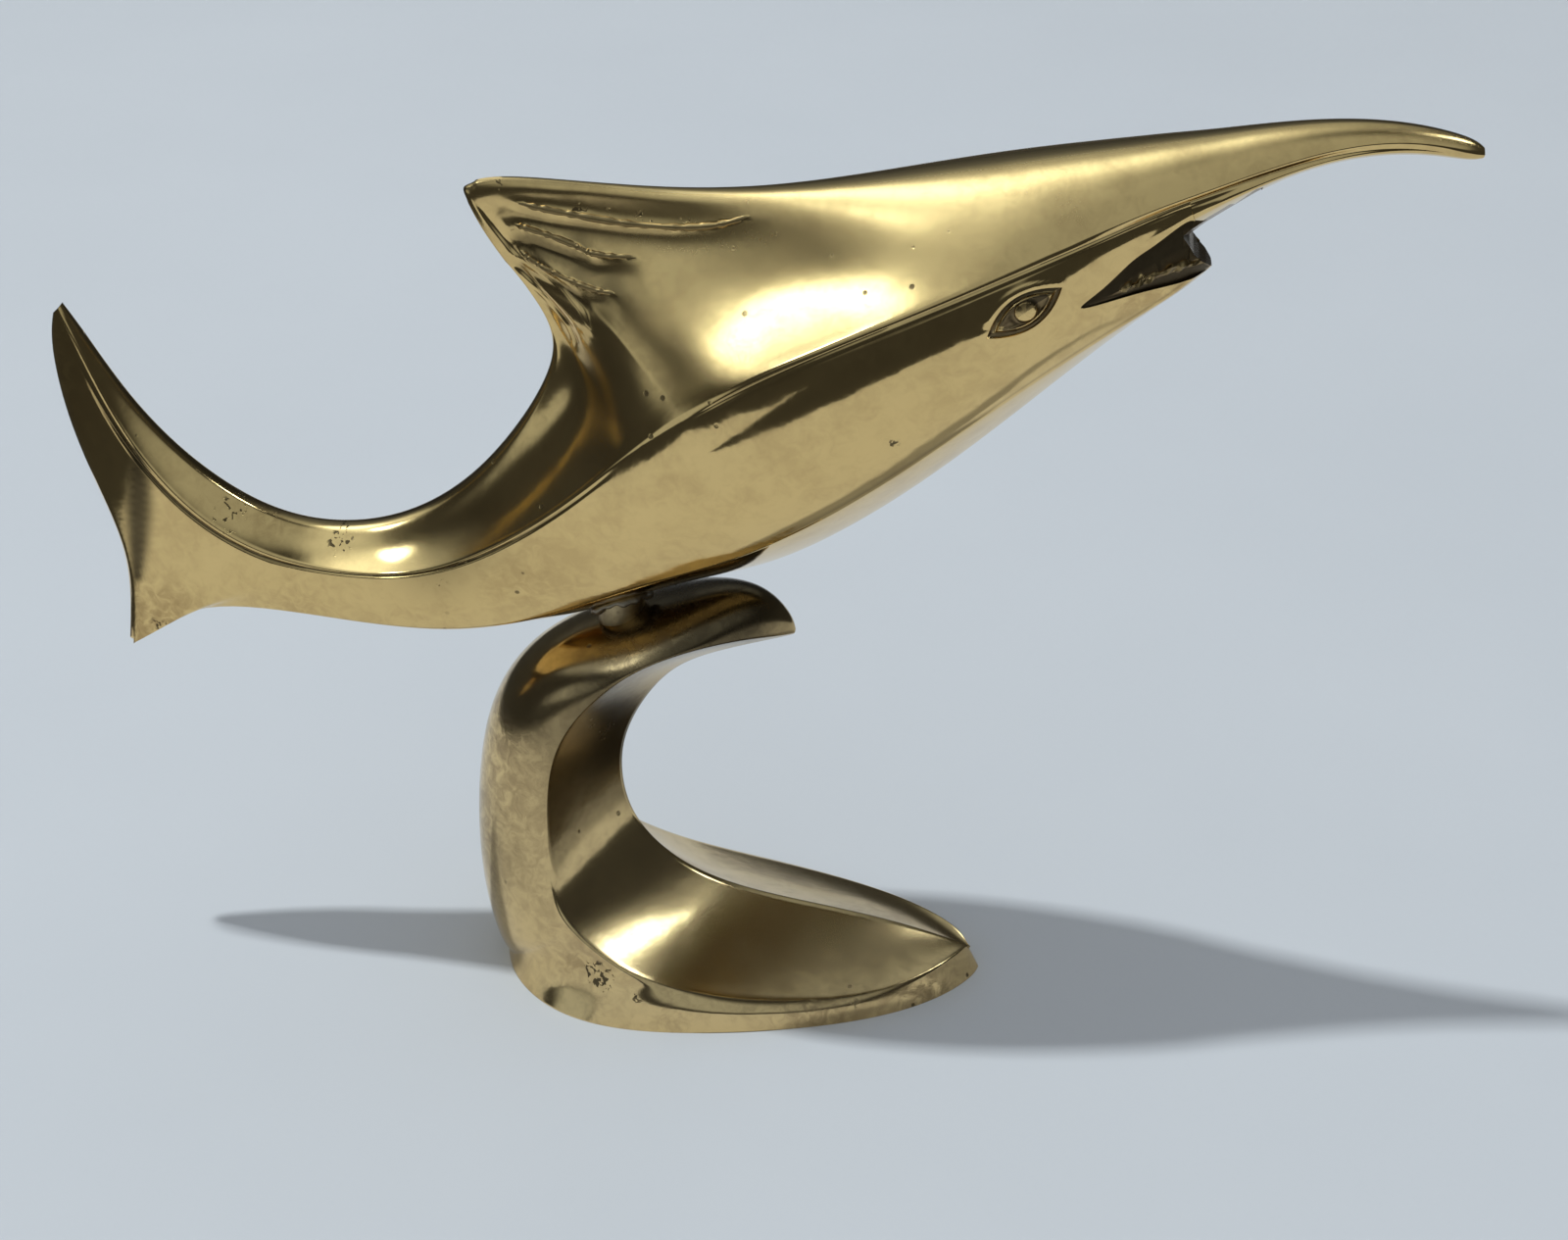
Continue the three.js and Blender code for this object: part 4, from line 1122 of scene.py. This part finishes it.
# A dull, dark braze metal; part of its darkness is painted shade, for where the bead sits under the
# belly
braze_metal = brass(
    "braze metal", (0.31, 0.27, 0.20), (0.15, 0.11, 0.07), (0.05, 0.04, 0.03), 0.42, 0.9, 0.9, 0.0004,
)
# A darker copy of the brass: painted shade for the mouth pockets, the gap under the bill and the deep
# groove of the eye
shaded_brass = brass(
    "shaded brass", (0.28, 0.20, 0.10), (0.17, 0.11, 0.055), (0.05, 0.04, 0.025), 0.24, 0.9, 0.9,
)
FINISHES = (
    (fish, (polished_brass, shaded_brass)),
    (stand, (satin_brass,)),
    (post, (dull_brass,)),
    (braze, (braze_metal,)),
)
for piece, finishes in FINISHES:
    picked = [face.material_index for face in piece.data.polygons]
    piece.data.materials.clear()
    for finish in finishes:
        piece.data.materials.append(finish)
    piece.data.polygons.foreach_set("material_index", picked)

# ---- Studio ----
# The stretch of lit floor that the brass mirrors, in metres; past it the floor is dark in the mirror.
# In front of SHADED_FRONT only what lies left of SHADED_FROM is lit, and in front of LEFT_TURN the left
# edge goes outwards by LEFT_SLANT
LIT_LEFT = -0.19
LIT_RIGHT = 0.32
LIT_BACK = 0.60
LIT_FRONT = -0.60
SHADED_FRONT = -0.265
SHADED_FROM = -0.105
LEFT_TURN = -0.20
LEFT_SLANT = 0.6
# Soft lights of the room in the mirror of the brass: degrees from straight back towards the bill,
# degrees up, where it fades out, where it is full (both degrees from its middle), strength
ROOM_LIGHTS = (
    (-85, 57, 36, 6, 1.2), (-30, 58, 46, 15, 0.42), (168, 35, 42, 20, 0.42), (-135, 58, 24, 8, 0.6),
    (-148, 34, 16, 5, 0.35), (90, 55, 15, 4, 0.3), (-119, 45, 7.5, 3.5, 8.5),
    (-62, 63, 20, 5, 1.8), (83, 59, 6.5, 3.5, 12.0), (85, 52, 5, 3, 10.0),
)
LOW_LIGHT = (-128, 5, 18, 9, 0.5)
# The other lights come in between these two heights over the horizon
ROOM_RISE = (0.05, 0.22)
ROOM_DARK = (0.042, 0.045, 0.046, 1)
ROOM_TINT = (0.76, 0.87, 0.95, 1)


def light_ray(tree, kind):
    return add(tree, "LightPath").outputs[kind]


def lit_floor(tree, x, y):
    """1 where the brass mirrors a lit floor."""
    turned = sums(tree, "MINIMUM", sums(tree, "SUBTRACT", y, LEFT_TURN), 0.0)
    left = sums(tree, "ADD", times(tree, turned, LEFT_SLANT), LIT_LEFT)
    near = sums(tree, "GREATER_THAN", y, SHADED_FRONT)
    front = sums(tree, "MAXIMUM", near, sums(tree, "LESS_THAN", x, SHADED_FROM))
    lit = times(tree, sums(tree, "GREATER_THAN", x, left), front)
    for kind, place, edge in (
        ("GREATER_THAN", y, LIT_FRONT), ("LESS_THAN", y, LIT_BACK), ("LESS_THAN", x, LIT_RIGHT),
    ):
        lit = times(tree, lit, sums(tree, kind, place, edge))
    return lit


def make_floor():
    bm = bmesh.new()
    bmesh.ops.create_circle(bm, cap_ends=True, radius=4.0, segments=96)
    floor = finished("floor", bm, smooth=False)
    paint, tree, shader = new_finish("pale floor")
    place = add(tree, "TexCoord").outputs["Object"]
    cloud = noise(tree, place, 9.0, 4.0)
    colour = mixed(tree, cloud, (0.605, 0.645, 0.69, 1), (0.665, 0.705, 0.75, 1))
    feed(tree, shader, {"Base Color": colour, "Roughness": 0.6, "Specular IOR Level": 0.2})
    split = add(tree, "SeparateXYZ", {0: place}).outputs
    # For glossy rays the floor outside the lit stretch shows a dark emission instead: painted shade in
    # the mirror of the brass
    dark = sums(tree, "SUBTRACT", 1.0, lit_floor(tree, split["X"], split["Y"]))
    hidden = times(tree, dark, light_ray(tree, "Is Glossy Ray"))
    unlit = add(tree, "Emission", {"Color": ROOM_DARK, "Strength": 1.0})
    choice = add(tree, "MixShader", {0: hidden, 1: shader.outputs[0], 2: unlit.outputs[0]})
    feed(tree, tree.nodes["Material Output"], {"Surface": choice.outputs[0]})
    floor.data.materials.append(paint)


def soft_light(tree, towards, azimuth, up, outer, inner, strength):
    """The strength of one soft light of the room in a direction."""
    azimuth, up = math.radians(azimuth), math.radians(up)
    centre = (math.sin(azimuth) * math.cos(up), math.cos(azimuth) * math.cos(up), math.sin(up))
    near = add(tree, "VectorMath", {0: towards, 1: centre}, operation="DOT_PRODUCT").outputs["Value"]
    outer, inner = math.cos(math.radians(outer)), math.cos(math.radians(inner))
    return ramped(tree, near, outer, inner, 0.0, strength)


def make_world():
    """Pale to the camera, even light for the floor, and a soft dim room in the reflections."""
    world = bpy.data.worlds.new("studio")
    bpy.context.scene.world = world
    world.use_nodes = True
    tree = world.node_tree
    towards = add(tree, "TexCoord").outputs["Generated"]
    light = 0.0
    for place in ROOM_LIGHTS:
        light = sums(tree, "ADD", soft_light(tree, towards, *place), light)
    up = add(tree, "SeparateXYZ", {0: towards}).outputs["Z"]
    light = times(tree, light, ramped(tree, up, *ROOM_RISE))
    light = sums(tree, "ADD", light, soft_light(tree, towards, *LOW_LIGHT))
    lit = add(tree, "VectorMath", {0: ROOM_TINT[:3], "Scale": light}, operation="SCALE")
    room = mixed(tree, 1.0, ROOM_DARK, lit.outputs["Vector"], "ADD")
    seen = mixed(tree, light_ray(tree, "Is Glossy Ray"), (0.40, 0.415, 0.43, 1), room)
    seen = mixed(tree, light_ray(tree, "Is Camera Ray"), seen, (0.80, 0.83, 0.86, 1))
    feed(tree, tree.nodes["Background"], {"Color": seen, "Strength": 1.0})


LAMP_PLACE = (-0.37, 0.03, 2.0)
LAMP_SIZE = 0.07
LAMP_POWER = 20.0


def make_lamp():
    """A small lamp high above the tail, which the brass doesn't mirror."""
    lamp = bpy.data.lights.new("lamp above", "AREA")
    lamp.shape = "RECTANGLE"
    lamp.size = lamp.size_y = LAMP_SIZE
    lamp.energy = LAMP_POWER
    lamp.color = (0.97, 1.0, 1.0)
    thing = placed("lamp above", lamp)
    thing.location = LAMP_PLACE
    thing.rotation_euler = (-Vector(LAMP_PLACE)).to_track_quat("-Z", "Y").to_euler()
    thing.visible_glossy = False


CAMERA_PLACE = (45.45, -363.9, 293.0)
CAMERA_DOWN = 32
CAMERA_LEFT = 6
# Length of the lens in dots of a picture 1600 dots wide
CAMERA_REACH = 2900


def make_camera():
    """Looks down on the near flank, a little to the left of straight across."""
    lens = bpy.data.cameras.new("camera")
    lens.sensor_width = 36.0
    lens.lens = lens.sensor_width * CAMERA_REACH / 1600
    camera = placed("camera", lens)
    camera.location = Vector(CAMERA_PLACE) * MM
    camera.rotation_euler = (math.radians(90 - CAMERA_DOWN), 0, math.radians(CAMERA_LEFT))
    bpy.context.scene.camera = camera


make_floor()
make_world()
make_lamp()
make_camera()
bpy.context.scene.view_settings.view_transform = "Standard"

# ---- The model's own bookkeeping ----
for piece, node, slot in (
    (fish, "fish_casting", "polished_brass"),
    (stand, "wave_stand", "satin_brass"),
    (post, "mounting_post", "dull_brass"),
    (braze, "braze_bead", "braze"),
):
    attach(piece, "root")
    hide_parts(node)
